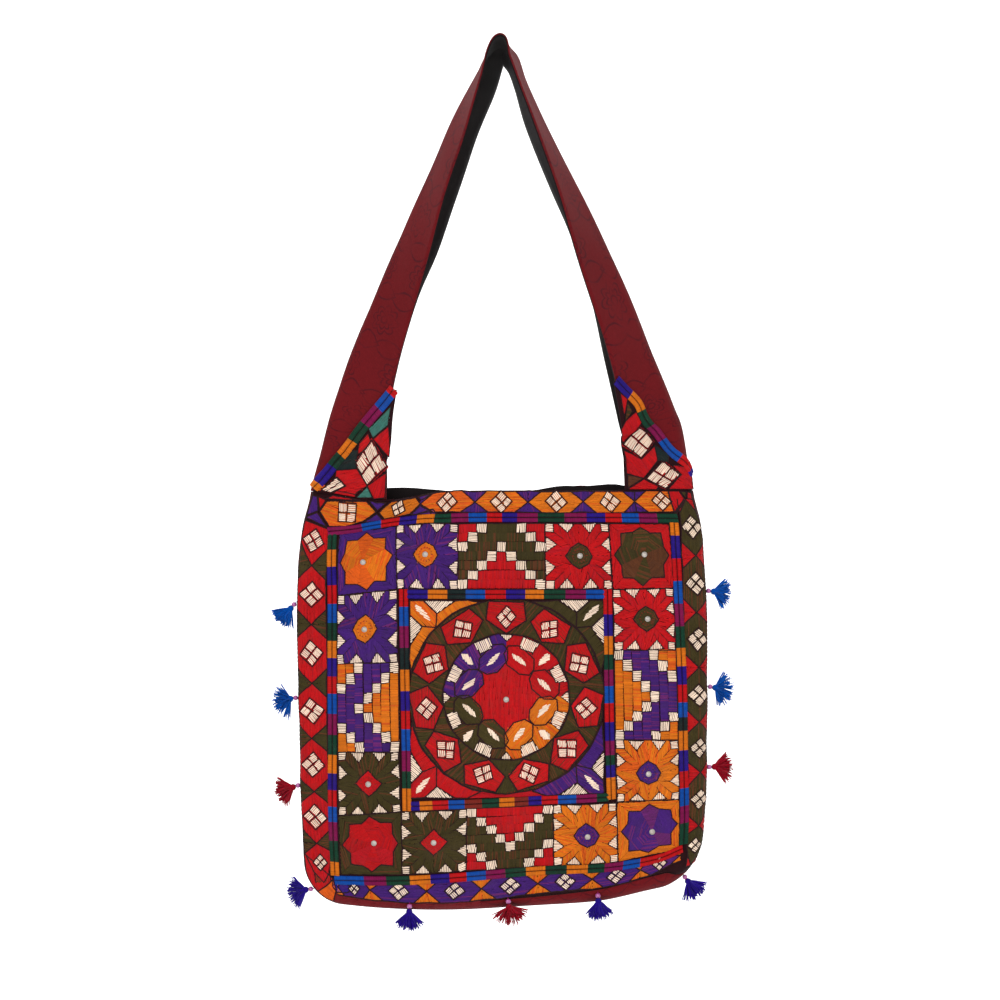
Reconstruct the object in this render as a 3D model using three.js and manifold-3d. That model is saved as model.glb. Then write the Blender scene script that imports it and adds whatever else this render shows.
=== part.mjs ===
// An embroidered cloth shoulder bag that hangs by its strap.
// Millimetres, +Z up, +X to the right and the embroidered front facing -Y.
// The origin is the underside of the strap at its top, where a peg or a shoulder carries it.
import * as THREE from 'three';
import { mergeVertices } from 'three/addons/utils/BufferGeometryUtils.js';
import Module from 'manifold-3d';

const wasm = await Module();
wasm.setup();

// The pouch
const halfWidth = 190; // from the middle to the side, at half height
const pouchHeight = 390; // from the mouth to the lowest fold
const strapDrop = 412; // from the origin down to the mouth
const cornerRadius = 36; // of the bottom corners, seen from the front
const leftEdge = 7; // radius of the side on the left, seen from above
const rightEdge = 13; // radius of the side on the right
const frontDepth = 17; // how far the front bellies out
const backDepth = 11;

// How the pouch's form fades, as shares
const footStart = 0.68; // of the height, from where the belly runs out to the bottom fold
const bellyPower = 1.5; // how fast the belly falls off to the sides
const liftStart = 0.45; // of the height, from where the pull on the bottom is felt
const drawStart = 0.1; // of halfWidth, from where the sides draw in
const drawEnd = 0.9;
const evenRise = 0.25; // of halfWidth above the mouth, where the draw-in has evened out

// Cloth
const embroideredWall = 2;
const plainWall = 1.2;
const liningWall = 1;
const layerGap = 0.3;
const liningGap = 2.4;
const seamGap = 0.8;
const seamTurn = 4; // least width of gusset outside its fold
const appliedGap = 1; // under braids and ears
const gussetWidth = 56;

// The strap
const flapWidth = 50; // half of the band, from its fold to an edge

// Couched braids
const braidWidth = 9;
const braidHeight = 1.8;
const braidSlope = 0.3; // share of its height by which a braid's edges lie lower

// Sequins, tassels and beads
const sequinRadius = 3;
const sequinThickness = 1;
const sequinGap = 0.7;
const tasselLength = 21;
const tasselSpread = 10.5; // radius of the skirt at its end
const tasselHead = 3.1;
const tasselLocks = 4;
const lockStep = 2; // every second lock is this much shorter
const lockEnd = 0.5; // radius of a lock's end, as a share of tasselSpread
const lockLean = 0.62; // how far its middle stands out there, as a share of tasselSpread
const lockNeck = 0.55; // radius of its other end, as a share of tasselHead
const seatDepth = 1; // how deep thread and locks run into the head
const threadRadius = 0.7;
const threadLength = 7.5;
const beadRadius = 2.4;
const beadLength = 4;
const beadMouth = 0.75; // radius of a bead's ends, as a share of beadRadius

// Shares of halfWidth and of the belly, at shares of the pouch's height below the mouth
const pouchSections = [
  { drop: 0.0, left: 0.936, right: 0.936, belly: 0.3, backBelly: 0.35 },
  { drop: 0.08, left: 0.976, right: 0.974, belly: 0.42, backBelly: 0.5 },
  { drop: 0.18, left: 1.0, right: 0.992, belly: 0.62, backBelly: 0.68 },
  { drop: 0.38, left: 1.002, right: 1.004, belly: 0.9, backBelly: 0.92 },
  { drop: 0.6, left: 0.99, right: 1.002, belly: 1.0, backBelly: 1.0 },
  { drop: 0.8, left: 0.98, right: 0.994, belly: 0.72, backBelly: 0.7 },
  { drop: 1.0, left: 0.962, right: 0.96, belly: 0.3, backBelly: 0.3 },
];

// Along the bottom, at shares of halfWidth across: how far it is pulled up, as a share of
// pouchHeight, and how far round the fold the panel's seam lies, as a share of its radius
const bottomRows = [
  { across: -1.0, lift: 0.02, seam: 0.45 },
  { across: -0.6, lift: 0.004, seam: 0.42 },
  { across: -0.25, lift: 0.0, seam: 0.36 },
  { across: 0.15, lift: 0.01, seam: 0.25 },
  { across: 0.5, lift: 0.022, seam: 0.0 },
  { across: 0.8, lift: 0.052, seam: -0.15 },
  { across: 1.0, lift: 0.072, seam: -0.15 },
];

// Soft dents and slack: place and size as shares of halfWidth across and pouchHeight down,
// sink as a share of pouchHeight and push as a share of frontDepth
const slackSpots = [
  { across: -0.62, drop: 0.03, wide: 0.24, tall: 0.09, sink: 0.027, push: 0.1 },
  { across: -0.84, drop: 0.14, wide: 0.16, tall: 0.12, sink: 0.006, push: -0.25 },
  { across: 0.1, drop: 0.3, wide: 0.5, tall: 0.07, sink: 0.0, push: -0.12 },
  { across: -0.35, drop: 0.74, wide: 0.3, tall: 0.08, sink: 0.0, push: 0.12 },
  { across: 0.62, drop: 0.93, wide: 0.22, tall: 0.07, sink: 0.0, push: -0.2 },
  { across: -0.8, drop: 0.94, wide: 0.16, tall: 0.07, sink: 0.0, push: -0.18 },
];

// The strap from its left foot over the top to its right foot. Across is a share of the
// pouch's half width, climb of strapDrop, flare of flapWidth, and the turns are shares of a
// right angle by which the front and back flaps are folded in.
const strapRows = [
  { across: -1.0, climb: 0.0, flare: 1.64, frontTurn: 1.0, backTurn: 1.0 },
  { across: -0.932, climb: 0.117, flare: 1.41, frontTurn: 0.88, backTurn: 0.8 },
  { across: -0.853, climb: 0.232, flare: 1.25, frontTurn: 0.76, backTurn: 0.67 },
  { across: -0.743, climb: 0.36, flare: 1.13, frontTurn: 0.68, backTurn: 0.6 },
  { across: -0.629, climb: 0.473, flare: 1.09, frontTurn: 0.56, backTurn: 0.51 },
  { across: -0.518, climb: 0.581, flare: 1.07, frontTurn: 0.43, backTurn: 0.5 },
  { across: -0.398, climb: 0.696, flare: 1.0, frontTurn: 0.33, backTurn: 0.45 },
  { across: -0.279, climb: 0.818, flare: 1.0, frontTurn: 0.26, backTurn: 0.37 },
  { across: -0.162, climb: 0.914, flare: 0.98, frontTurn: 0.12, backTurn: 0.31 },
  { across: -0.078, climb: 0.976, flare: 0.96, frontTurn: 0.0, backTurn: 0.22 },
  { across: 0.0, climb: 1.0, flare: 0.95, frontTurn: -0.05, backTurn: 0.13 },
  { across: 0.077, climb: 0.978, flare: 0.96, frontTurn: 0.12, backTurn: 0.15 },
  { across: 0.125, climb: 0.922, flare: 0.98, frontTurn: 0.11, backTurn: 0.12 },
  { across: 0.212, climb: 0.836, flare: 1.0, frontTurn: 0.15, backTurn: 0.19 },
  { across: 0.366, climb: 0.709, flare: 1.0, frontTurn: 0.27, backTurn: 0.28 },
  { across: 0.492, climb: 0.601, flare: 1.09, frontTurn: 0.38, backTurn: 0.31 },
  { across: 0.634, climb: 0.468, flare: 1.11, frontTurn: 0.51, backTurn: 0.42 },
  { across: 0.773, climb: 0.322, flare: 1.16, frontTurn: 0.6, backTurn: 0.65 },
  { across: 0.885, climb: 0.203, flare: 1.28, frontTurn: 0.73, backTurn: 0.82 },
  { across: 0.942, climb: 0.135, flare: 1.36, frontTurn: 0.87, backTurn: 0.82 },
  { across: 1.0, climb: 0.0, flare: 1.5, frontTurn: 1.0, backTurn: 1.0 },
];
const footLevelling = 0.22; // share of the drop over which the feet turn level with the mouth

// Where the back of the mouth stands higher, as shares of halfWidth, and by how much, as a
// share of pouchHeight
const backRises = [
  { across: -0.38, half: 0.19, height: 0.02 },
  { across: 0.4, half: 0.2, height: 0.018 },
];
const riseFade = 6; // power by which the rise fades down the back

// How finely the cloth pieces are divided
const panelRows = 13;
const cornerSteps = 5;
const baseSteps = 12;
const panelColumns = 2 * cornerSteps + baseSteps;
const strapSteps = 36;
const flapColumns = 4;
const liningRows = 8;
const gussetSteps = 7;
const foldStep = 2 / gussetSteps; // the gusset's columns from its front seam to the rim

// Braid frames on the front: half sizes as shares of halfWidth, middles as shares of
// halfWidth across and of pouchHeight down
const braidFrames = [
  { name: 'outer_braid', across: 0.025, drop: 0.5, half: 0.868, tall: 0.878, steps: 13 },
  { name: 'inner_braid', across: 0.029, drop: 0.499, half: 0.51, tall: 0.513, steps: 7 },
];

// Ears on the feet of the strap: how far up the strap they reach at the fold and at the
// inner edge, as shares of its length
const ears = [
  { name: 'left', side: -1, atFold: 0.012, atEdge: 0.108 },
  { name: 'right', side: 1, atFold: 0.016, atEdge: 0.112 },
];

// Sequins, in shares of halfWidth across and pouchHeight down
const sequins = [
  { across: -0.68, drop: 0.166 },
  { across: -0.375, drop: 0.15 },
  { across: 0.38, drop: 0.155 },
  { across: 0.7, drop: 0.152 },
  { across: -0.67, drop: 0.33 },
  { across: 0.708, drop: 0.305 },
  { across: 0.02, drop: 0.494 },
  { across: -0.66, drop: 0.7 },
  { across: 0.713, drop: 0.69 },
  { across: -0.637, drop: 0.843 },
  { across: -0.335, drop: 0.836 },
  { across: 0.418, drop: 0.836 },
  { across: 0.74, drop: 0.848 },
];

// Tassels. Their place on the rim is a share of the inner rectangle across and down, and a
// turn in degrees from straight down. Points is the way they point, in degrees from +X. Seat
// is how far round the rim they start, where that is short of its outermost line.
const tassels = [
  { name: 'left_1', across: -1, drop: 0.294, turn: -90, points: 226, yarn: 'blue' },
  { name: 'left_2', across: -1, drop: 0.544, turn: -90, points: 194, yarn: 'blue' },
  { name: 'left_3', across: -1, drop: 0.783, turn: -90, points: 198, yarn: 'red' },
  { name: 'left_corner', across: -1, drop: 1, turn: -54, points: 178, yarn: 'navy' },
  { name: 'bottom_1', across: -0.565, drop: 1, turn: 0, points: 268, seat: 0.45, yarn: 'navy' },
  { name: 'bottom_2', across: 0.036, drop: 1, turn: 0, points: 278, seat: 0.45, yarn: 'red' },
  { name: 'bottom_3', across: 0.585, drop: 1, turn: 0, points: 274, seat: 0.45, yarn: 'navy' },
  { name: 'right_corner', across: 1, drop: 1, turn: 36, points: 312, yarn: 'navy' },
  { name: 'right_3', across: 1, drop: 0.759, turn: 90, points: 3, yarn: 'red' },
  { name: 'right_2', across: 1, drop: 0.515, turn: 90, points: 352, yarn: 'blue' },
  { name: 'right_1', across: 1, drop: 0.263, turn: 90, points: 8, yarn: 'blue' },
];

const { clamp, lerp, smoothstep, degToRad } = THREE.MathUtils;

// A smooth value of one column, at a place counted in rows
function columnAt(rows, place, column) {
  const last = rows.length - 1;
  const row = Math.min(Math.floor(clamp(place, 0, last)), last - 1);
  const t = clamp(place, 0, last) - row;
  const value = (i) => rows[clamp(i, 0, last)][column];
  const [a, b, c, d] = [value(row - 1), value(row), value(row + 1), value(row + 2)];
  const bend = 2 * a - 5 * b + 4 * c - d;
  return b + 0.5 * t * (c - a + t * (bend + t * (3 * (b - c) + d - a)));
}

// The same, at a value of another column
function columnBy(rows, key, at, column) {
  const last = rows.length - 1;
  const held = clamp(at, rows[0][key], rows[last][key]);
  let row = 0;
  while (row < last - 1 && rows[row + 1][key] < held) row++;
  const share = (held - rows[row][key]) / (rows[row + 1][key] - rows[row][key]);
  return columnAt(rows, row + share, column);
}

// A hump that is 1 at the middle of a spot and nearly 0 past twice its reach
function hump(spot, across, drop) {
  return Math.exp(-(((across - spot.across) / spot.wide) ** 2) - ((drop - spot.drop) / spot.tall) ** 2);
}

// Moves a point of the plain pouch or strap to where it hangs: the sides draw in, the bottom
// is pulled up to the right and the cloth sinks where it is slack. Down is negative on the strap.
function hang(x, y, down) {
  const drop = clamp(down / pouchHeight, 0, 1);
  const across = x / halfWidth;
  const draw = columnBy(pouchSections, 'drop', drop, across < 0 ? 'left' : 'right');
  const lift = columnBy(bottomRows, 'across', across, 'lift') * smoothstep(drop, liftStart, 1);
  const sink = slackSpots.reduce((sum, s) => sum + s.sink * hump(s, across, down / pouchHeight), 0);
  const beside = smoothstep(Math.abs(across), drawStart, drawEnd);
  const edge = Math.max(beside, smoothstep(-down, 0, halfWidth * evenRise));
  return new THREE.Vector3(x * lerp(1, draw, edge), y, -strapDrop - down + pouchHeight * (lift - sink));
}

const core = { side: halfWidth - cornerRadius, bottom: pouchHeight - cornerRadius };

// Radius of the pouch's rim beside a place on its core
function rimRadius(across) {
  return lerp(leftEdge, rightEdge, smoothstep(across, -core.side, 0));
}

// How far a wall stands out from the rim's middle plane at a place on its flat part
function belly(face, x, down) {
  const drop = clamp(down / pouchHeight, 0, 1);
  const across = x / halfWidth;
  const foot = 1 - smoothstep(down, pouchHeight * footStart, pouchHeight - rimRadius(x));
  const round = Math.max(0, 1 - across ** 2) ** bellyPower;
  const size = face < 0 ? frontDepth : backDepth;
  const bulge = columnBy(pouchSections, 'drop', drop, face < 0 ? 'belly' : 'backBelly');
  const dents = slackSpots.reduce((sum, s) => sum + s.push * hump(s, across, drop), 0);
  return size * round * foot * (bulge + (face < 0 ? dents : 0));
}

// A place on the pouch's cloth, given along the cloth from the middle of the mouth. Past the
// flat part it runs round the rim. Face is -1 on the front and 1 on the back.
function pouchPoint(face, across, down, lift = 0) {
  const near = { x: clamp(across, -core.side, core.side), down: Math.min(down, core.bottom) };
  const out = new THREE.Vector2(across - near.x, down - near.down);
  const radius = rimRadius(near.x);
  const flat = cornerRadius - radius;
  const reach = out.length();
  if (reach <= flat) return hang(across, face * (radius + lift + belly(face, across, down)), down);
  out.normalize();
  const turn = Math.min((reach - flat) / radius, Math.PI);
  const past = Math.max(reach - flat - Math.PI * radius, 0);
  const along = flat + (radius + lift) * Math.sin(turn) - past;
  const behind = turn > Math.PI / 2;
  const mirrored = 2 * flat + Math.PI * radius - reach;
  const swell = behind
    ? belly(-face, near.x + out.x * mirrored, near.down + out.y * mirrored)
    : belly(face, across, down);
  const y = face * Math.cos(turn) * (radius + lift + swell);
  return hang(near.x + out.x * along, y, near.down + out.y * along);
}

// Distance along the cloth from the middle to the rim's outermost line
const clothSide = (side) => halfWidth + (Math.PI / 2 - 1) * rimRadius(side * core.side);
const clothBottom = (across) => pouchHeight + (Math.PI / 2 - 1) * rimRadius(across);

// The cloth pieces end on outlines with two straight sides, two round corners and a base.
// A spot on one is a place on the rectangle inside it (across -1 to 1, drop 0 to 1) and the
// turn of its outward direction from straight down.
function columnSpot(u) {
  const steps = u * panelColumns;
  const late = steps - cornerSteps - baseSteps;
  if (steps < cornerSteps) return { across: -1, drop: 1, turn: (Math.PI / 2) * (steps / cornerSteps - 1) };
  if (late > 0) return { across: 1, drop: 1, turn: (Math.PI / 2) * (late / cornerSteps) };
  return { across: (2 * (steps - cornerSteps)) / baseSteps - 1, drop: 1, turn: 0 };
}

function outlineSpot(u) {
  const steps = u * (2 * panelRows + panelColumns);
  const late = steps - panelRows - panelColumns;
  if (steps < panelRows) return { across: -1, drop: steps / panelRows, turn: -Math.PI / 2 };
  if (late > 0) return { across: 1, drop: 1 - late / panelRows, turn: Math.PI / 2 };
  return columnSpot((steps - panelRows) / panelColumns);
}

function outlinePlace(spot, side, bottom, reach) {
  const x = spot.across * side + Math.sin(spot.turn) * reach;
  return new THREE.Vector2(x, spot.drop * bottom + Math.cos(spot.turn) * reach);
}

// Arc from the flat front to the front panel's edge: on the rim at the sides, less far at
// the bottom
function seamArc(spot) {
  const x = spot.across * core.side;
  const low = columnBy(bottomRows, 'across', x / halfWidth, 'seam') * rimRadius(x);
  return lerp(low, (Math.PI / 2) * rimRadius(x), smoothstep(Math.abs(spot.turn), 0.1, 1));
}

const flatReach = (spot) => cornerRadius - rimRadius(spot.across * core.side);
const rimReach = (spot) => flatReach(spot) + (Math.PI / 2) * rimRadius(spot.across * core.side);

// The front panel: from the mouth to its lower seam, and to the rim at the sides
function frontPoint(u, v, lift) {
  const spot = columnSpot(u);
  const edge = outlinePlace(spot, core.side, core.bottom, flatReach(spot) + seamArc(spot));
  return pouchPoint(-1, edge.x, v * edge.y, lift);
}

// The gusset runs on from the front panel's edge, round the rim and onto the back
const backCorner = cornerRadius * 0.8;
const wrapReach = (spot) => flatReach(spot) + Math.PI * rimRadius(spot.across * core.side) - seamArc(spot);
const backFoot = core.bottom + wrapReach({ across: 0, drop: 1, turn: 0 }) - gussetWidth;
const backSide = (side) => clothSide(side) - gussetWidth;

function gussetPoint(u, v, lift) {
  const spot = outlineSpot(u);
  const reach = wrapReach(spot) - seamGap;
  const outer = outlinePlace(spot, core.side, core.bottom, reach);
  const fold = outlinePlace(spot, core.side, core.bottom, Math.min(rimReach(spot), reach - seamTurn));
  const side = backSide(Math.sign(spot.across) || 1) - backCorner;
  const inner = outlinePlace(spot, side, backFoot - backCorner, backCorner);
  const past = (v - foldStep) / (1 - foldStep);
  const place = past < 0 ? outer.lerp(fold, v / foldStep) : fold.lerp(inner, past);
  return pouchPoint(1, place.x, place.y, lift);
}

// The back panel lies inside the gusset's inner seam
function backPoint(u, v, lift) {
  const spot = columnSpot(1 - u);
  const side = backSide(Math.sign(spot.across) || 1) - backCorner;
  const edge = outlinePlace(spot, side, backFoot - backCorner, backCorner - layerGap);
  const down = v * edge.y;
  return pouchPoint(1, edge.x, down - backRim(edge.x) * (1 - v) ** riseFade, lift);
}

// The back of the mouth stands a little higher beside the strap's feet
function backRim(across) {
  const bump = ({ across: middle, half, height }) => {
    const off = Math.abs(across / halfWidth - middle) / half;
    return off < 1 ? height * Math.cos((off * Math.PI) / 2) ** 2 : 0;
  };
  return pouchHeight * backRises.reduce((sum, rise) => sum + bump(rise), 0);
}

// Triangles to a solid mesh geometry, turned outward
function closedBody(corners) {
  const soup = new THREE.BufferGeometry();
  soup.setAttribute('position', new THREE.Float32BufferAttribute(corners.flatMap((c) => c.toArray()), 3));
  const body = mergeVertices(soup, 1e-4);
  const kept = [];
  const index = body.getIndex().array;
  const at = (i) => new THREE.Vector3().fromBufferAttribute(body.getAttribute('position'), i);
  let volume = 0;
  for (let i = 0; i < index.length; i += 3) {
    const [a, b, c] = [index[i], index[i + 1], index[i + 2]];
    if (a === b || b === c || c === a) continue;
    kept.push(a, b, c);
    volume += at(a).dot(at(b).cross(at(c)));
  }
  if (volume < 0) kept.reverse();
  body.setIndex(kept);
  return body;
}

function quad(corners, a, b, c, d) {
  corners.push(a, b, c, a, c, d);
}

// A wall of cloth between two lifts of a surface given by u and v from 0 to 1
function clothSheet(point, columns, rows, outer, inner) {
  const grid = (lift) =>
    Array.from({ length: rows + 1 }, (_, j) =>
      Array.from({ length: columns + 1 }, (__, i) => point(i / columns, j / rows, lift)),
    );
  const [top, under] = [grid(outer), grid(inner)];
  const corners = [];
  for (let j = 0; j < rows; j++) {
    for (let i = 0; i < columns; i++) {
      quad(corners, top[j][i], top[j + 1][i], top[j + 1][i + 1], top[j][i + 1]);
      quad(corners, under[j][i], under[j][i + 1], under[j + 1][i + 1], under[j + 1][i]);
    }
  }
  for (let i = 0; i < columns; i++) {
    quad(corners, top[0][i], top[0][i + 1], under[0][i + 1], under[0][i]);
    quad(corners, top[rows][i + 1], top[rows][i], under[rows][i], under[rows][i + 1]);
  }
  for (let j = 0; j < rows; j++) {
    quad(corners, top[j + 1][0], top[j][0], under[j][0], under[j + 1][0]);
    quad(corners, top[j][columns], top[j + 1][columns], under[j + 1][columns], under[j][columns]);
  }
  return closedBody(corners);
}

// The lining is one pouch, whose two walls meet along the rim
function liningPoint(face, u, v, lift) {
  const spot = columnSpot(u);
  const edge = outlinePlace(spot, core.side, core.bottom, rimReach(spot));
  return pouchPoint(face, edge.x, lerp(2 * layerGap, edge.y, v), lift);
}

function liningBody() {
  const [columns, rows] = [panelColumns, liningRows];
  const outer = -embroideredWall - liningGap;
  const corners = [];
  for (const face of [-1, 1]) {
    const at = (i, j, lift) => liningPoint(face, i / columns, j / rows, lift);
    const steps = [[0, 0], [0, 1], [1, 1], [1, 0]];
    const ring = (i, j, lift) => steps.map(([right, below]) => at(i + right, j + below, lift));
    const lay = (points, flip) => quad(corners, ...(flip ? points.reverse() : points));
    for (let i = 0; i < columns; i++) {
      for (let j = 0; j < rows; j++) {
        lay(ring(i, j, outer), face > 0);
        lay(ring(i, j, outer - liningWall), face < 0);
      }
      const [a, b] = [at(i, 0, outer), at(i + 1, 0, outer)];
      lay([a, b, at(i + 1, 0, outer - liningWall), at(i, 0, outer - liningWall)], face > 0);
    }
  }
  return closedBody(corners);
}

// The fold of the strap, in the plane of the front. The underside of its top is at the origin.
const lastRow = strapRows.length - 1;
const strapStack = plainWall + layerGap + liningWall;
function foldLine(place) {
  const x = columnAt(strapRows, place, 'across') * halfWidth;
  return new THREE.Vector2(x, -(strapDrop + strapStack) * columnAt(strapRows, place, 'climb'));
}

// A place on the strap: place counts rows from the left foot, across runs from -1 at the
// front edge over the fold at 0 to 1 at the back edge
function strapPoint(place, across, lift) {
  const fold = foldLine(place);
  const before = foldLine(Math.max(place - turnStep, 0));
  const way = foldLine(Math.min(place + turnStep, lastRow)).sub(before).normalize();
  const climb = columnAt(strapRows, place, 'climb');
  const level = 1 - smoothstep(climb, 0, footLevelling);
  const inward = new THREE.Vector2(-way.y, way.x);
  const flatIn = new THREE.Vector2(place < lastRow / 2 ? 1 : -1, 0);
  inward.lerp(flatIn, level).normalize();
  const radius = lerp(leftEdge, rightEdge, place / lastRow);
  const length = Math.abs(across) * flapWidth * columnAt(strapRows, place, 'flare');
  const turn = (Math.PI / 2) * columnAt(strapRows, place, across < 0 ? 'frontTurn' : 'backTurn');
  const bend = Math.abs(turn);
  const angle = Math.min(length / radius, bend);
  const straight = length - angle * radius;
  const depth = radius * Math.sin(angle) + straight * Math.cos(bend) + lift * Math.sin(angle);
  const tuck = radius * (1 - Math.cos(angle)) + straight * Math.sin(bend);
  const inside = Math.sign(turn || 1) * tuck - lift * Math.cos(angle);
  const side = across < 0 ? -1 : 1;
  const x = fold.x + inward.x * inside;
  const swell = belly(side, x, 0) * level * smoothstep(length, radius, 3 * radius);
  return hang(x, side * (depth + swell), fold.y + inward.y * inside);
}

const toePlace = 0.02; // the feet stop this far above the mouth, in rows
const turnStep = 0.05; // rows between which the fold's direction is read
// The strap's rows lie closer near its feet and its columns near the fold
const footCrowding = 0.4;
const foldCrowding = 1.6;
const flapShare = (t) => Math.sign(t) * Math.abs(t) ** foldCrowding;
function strapSheet(u, v, lift) {
  const along = lerp(v, 0.5 - 0.5 * Math.cos(v * Math.PI), footCrowding);
  return strapPoint(lerp(toePlace, lastRow - toePlace, along), flapShare(2 * u - 1), lift);
}

// An ear covers the front flap from the strap's foot to a slanting line
function earPoint(ear, u, v, lift, from = 0, to = 1) {
  const across = flapShare(lerp(-1, -1 / flapColumns, u));
  const top = lerp(ear.atEdge, ear.atFold, u) * lastRow;
  const up = lerp(toePlace, toePlace + top, lerp(from, to, v));
  return strapPoint(ear.side < 0 ? up : lastRow - up, across, lift);
}

// A braid lies along the ear's slanting edge, and starts just past it
const earSlant = 0.36; // the braid's rise up the strap, as a share of its width over the ear's
const braidStart = 1.04;
function earBraidPoint(ear, u, v, lift) {
  const rise = (earSlant * braidWidth) / (strapDrop * (ear.atEdge - ear.atFold));
  const ridge = lift > appliedGap ? braidHeight * braidSlope * Math.abs(2 * v - 1) : 0;
  return earPoint(ear, u, v, lift - ridge, braidStart, braidStart + rise);
}

// A braid frame: a low ridge swept round a rectangle on the front
function frameBody(frame) {
  const halfAcross = frame.half * halfWidth;
  const halfDown = frame.tall * halfWidth;
  const middle = new THREE.Vector2(frame.across * halfWidth, frame.drop * pouchHeight);
  const stations = [];
  for (const [cx, cy, dx, dy] of [[-1, -1, 1, 0], [1, -1, 0, 1], [1, 1, -1, 0], [-1, 1, 0, -1]]) {
    for (let i = 0; i < frame.steps; i++) {
      const along = (2 * i) / frame.steps;
      stations.push({ x: cx + dx * along, y: cy + dy * along, start: i === 0 });
    }
  }
  const section = [
    { out: -0.5, lift: appliedGap },
    { out: -0.5, lift: appliedGap + braidHeight * (1 - braidSlope) },
    { out: 0, lift: appliedGap + braidHeight },
    { out: 0.5, lift: appliedGap + braidHeight * (1 - braidSlope) },
    { out: 0.5, lift: appliedGap },
  ];
  const place = (station, spot) => {
    const grow = { x: halfAcross + spot.out * braidWidth, y: halfDown + spot.out * braidWidth };
    const x = middle.x + station.x * grow.x;
    return pouchPoint(-1, x, middle.y + station.y * grow.y, spot.lift);
  };
  const corners = [];
  for (const [i, station] of stations.entries()) {
    const next = stations[(i + 1) % stations.length];
    for (const [k, spot] of section.entries()) {
      const other = section[(k + 1) % section.length];
      quad(corners, place(station, spot), place(next, spot), place(next, other), place(station, other));
    }
  }
  return closedBody(corners);
}

function sequinBody() {
  return new THREE.CylinderGeometry(sequinRadius, sequinRadius, sequinThickness, 7);
}

// A manifold solid from a closed geometry, and back
function toSolid(geometry) {
  const plain = geometry.clone();
  plain.deleteAttribute('normal');
  plain.deleteAttribute('uv');
  const merged = mergeVertices(plain, 1e-4);
  const vertProperties = new Float32Array(merged.getAttribute('position').array);
  const triVerts = new Uint32Array(merged.getIndex().array);
  return new wasm.Manifold(new wasm.Mesh({ numProp: 3, vertProperties, triVerts }));
}

function toGeometry(solid) {
  const mesh = solid.getMesh();
  const geometry = new THREE.BufferGeometry();
  geometry.setAttribute('position', new THREE.Float32BufferAttribute(mesh.vertProperties, 3));
  geometry.setIndex(Array.from(mesh.triVerts));
  return geometry;
}

// A tassel points along +Y from its thread: thread, tied head, and a skirt of yarn locks
function tasselBody() {
  const thread = new THREE.CylinderGeometry(threadRadius, threadRadius, threadLength + seatDepth, 6);
  thread.translate(0, (threadLength + seatDepth) / 2, 0);
  const head = new THREE.SphereGeometry(tasselHead, 6, 4);
  head.translate(0, threadLength + tasselHead - seatDepth / 2, 0);
  let solid = toSolid(thread).add(toSolid(head));
  for (let i = 0; i < tasselLocks; i++) {
    const long = tasselLength - tasselHead - (i % 2) * lockStep;
    const lock = new THREE.CylinderGeometry(tasselSpread * lockEnd, tasselHead * lockNeck, long, 4);
    lock.translate(0, long / 2, 0);
    lock.rotateX(Math.atan((tasselSpread * lockLean) / long));
    lock.rotateY((i * 2 * Math.PI) / tasselLocks);
    lock.translate(0, threadLength + tasselHead - seatDepth, 0);
    solid = solid.add(toSolid(lock));
  }
  return toGeometry(solid);
}

// A bead drilled for the tassel's thread
function beadBody() {
  const hole = threadRadius + layerGap;
  const mouth = beadRadius * beadMouth;
  const profile = [
    [hole, -beadLength / 2],
    [mouth, -beadLength / 2],
    [beadRadius, 0],
    [mouth, beadLength / 2],
    [hole, beadLength / 2],
    [hole, -beadLength / 2],
  ];
  return new THREE.LatheGeometry(profile.map(([r, y]) => new THREE.Vector2(r, y)), 6);
}

const bag = new THREE.Group();
const dyes = {
  embroidery: { color: 0xb3202a, roughness: 0.75 },
  printed: { color: 0x6a1620, roughness: 0.85 },
  black: { color: 0x141416, roughness: 0.9 },
  braid: { color: 0x2a3f8c, roughness: 0.7 },
  mirror: { color: 0x9a9a98, roughness: 0.3 },
  blue: { color: 0x0b4fae, roughness: 0.85 },
  red: { color: 0xa80f26, roughness: 0.85 },
  navy: { color: 0x2b1590, roughness: 0.85 },
  bead: { color: 0xd070b0, roughness: 0.35 },
};

function addPiece(name, geometry, dye, holder = bag) {
  const mesh = new THREE.Mesh(geometry, new THREE.MeshStandardMaterial({ ...dye, metalness: 0 }));
  mesh.name = name;
  holder.add(mesh);
  return mesh;
}

const outlineSteps = 2 * panelRows + panelColumns;
const frontBody = clothSheet(frontPoint, panelColumns, panelRows, 0, -embroideredWall);
addPiece('front_panel', frontBody, dyes.embroidery);
addPiece('back_panel', clothSheet(backPoint, panelColumns, panelRows, 0, -plainWall), dyes.printed);
addPiece('gusset', clothSheet(gussetPoint, outlineSteps, gussetSteps, 0, -plainWall), dyes.printed);
addPiece('bag_lining', liningBody(), dyes.black);

const strapLining = [-plainWall - layerGap, -plainWall - layerGap - liningWall];
addPiece('strap', clothSheet(strapSheet, 2 * flapColumns, strapSteps, 0, -plainWall), dyes.printed);
const liningSheet = clothSheet(strapSheet, 2 * flapColumns, strapSteps, ...strapLining);
addPiece('strap_lining', liningSheet, dyes.black);

for (const ear of ears) {
  const onEar = (u, v, lift) => earPoint(ear, u, v, lift);
  const onBraid = (u, v, lift) => earBraidPoint(ear, u, v, lift);
  const columns = flapColumns - 1;
  const earBody = clothSheet(onEar, columns, 7, appliedGap + plainWall, appliedGap);
  const braidBody = clothSheet(onBraid, columns, 2, appliedGap + braidHeight, appliedGap);
  addPiece(`${ear.name}_ear`, earBody, dyes.embroidery);
  addPiece(`${ear.name}_ear_braid`, braidBody, dyes.braid);
}

for (const frame of braidFrames) addPiece(frame.name, frameBody(frame), dyes.braid);

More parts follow.
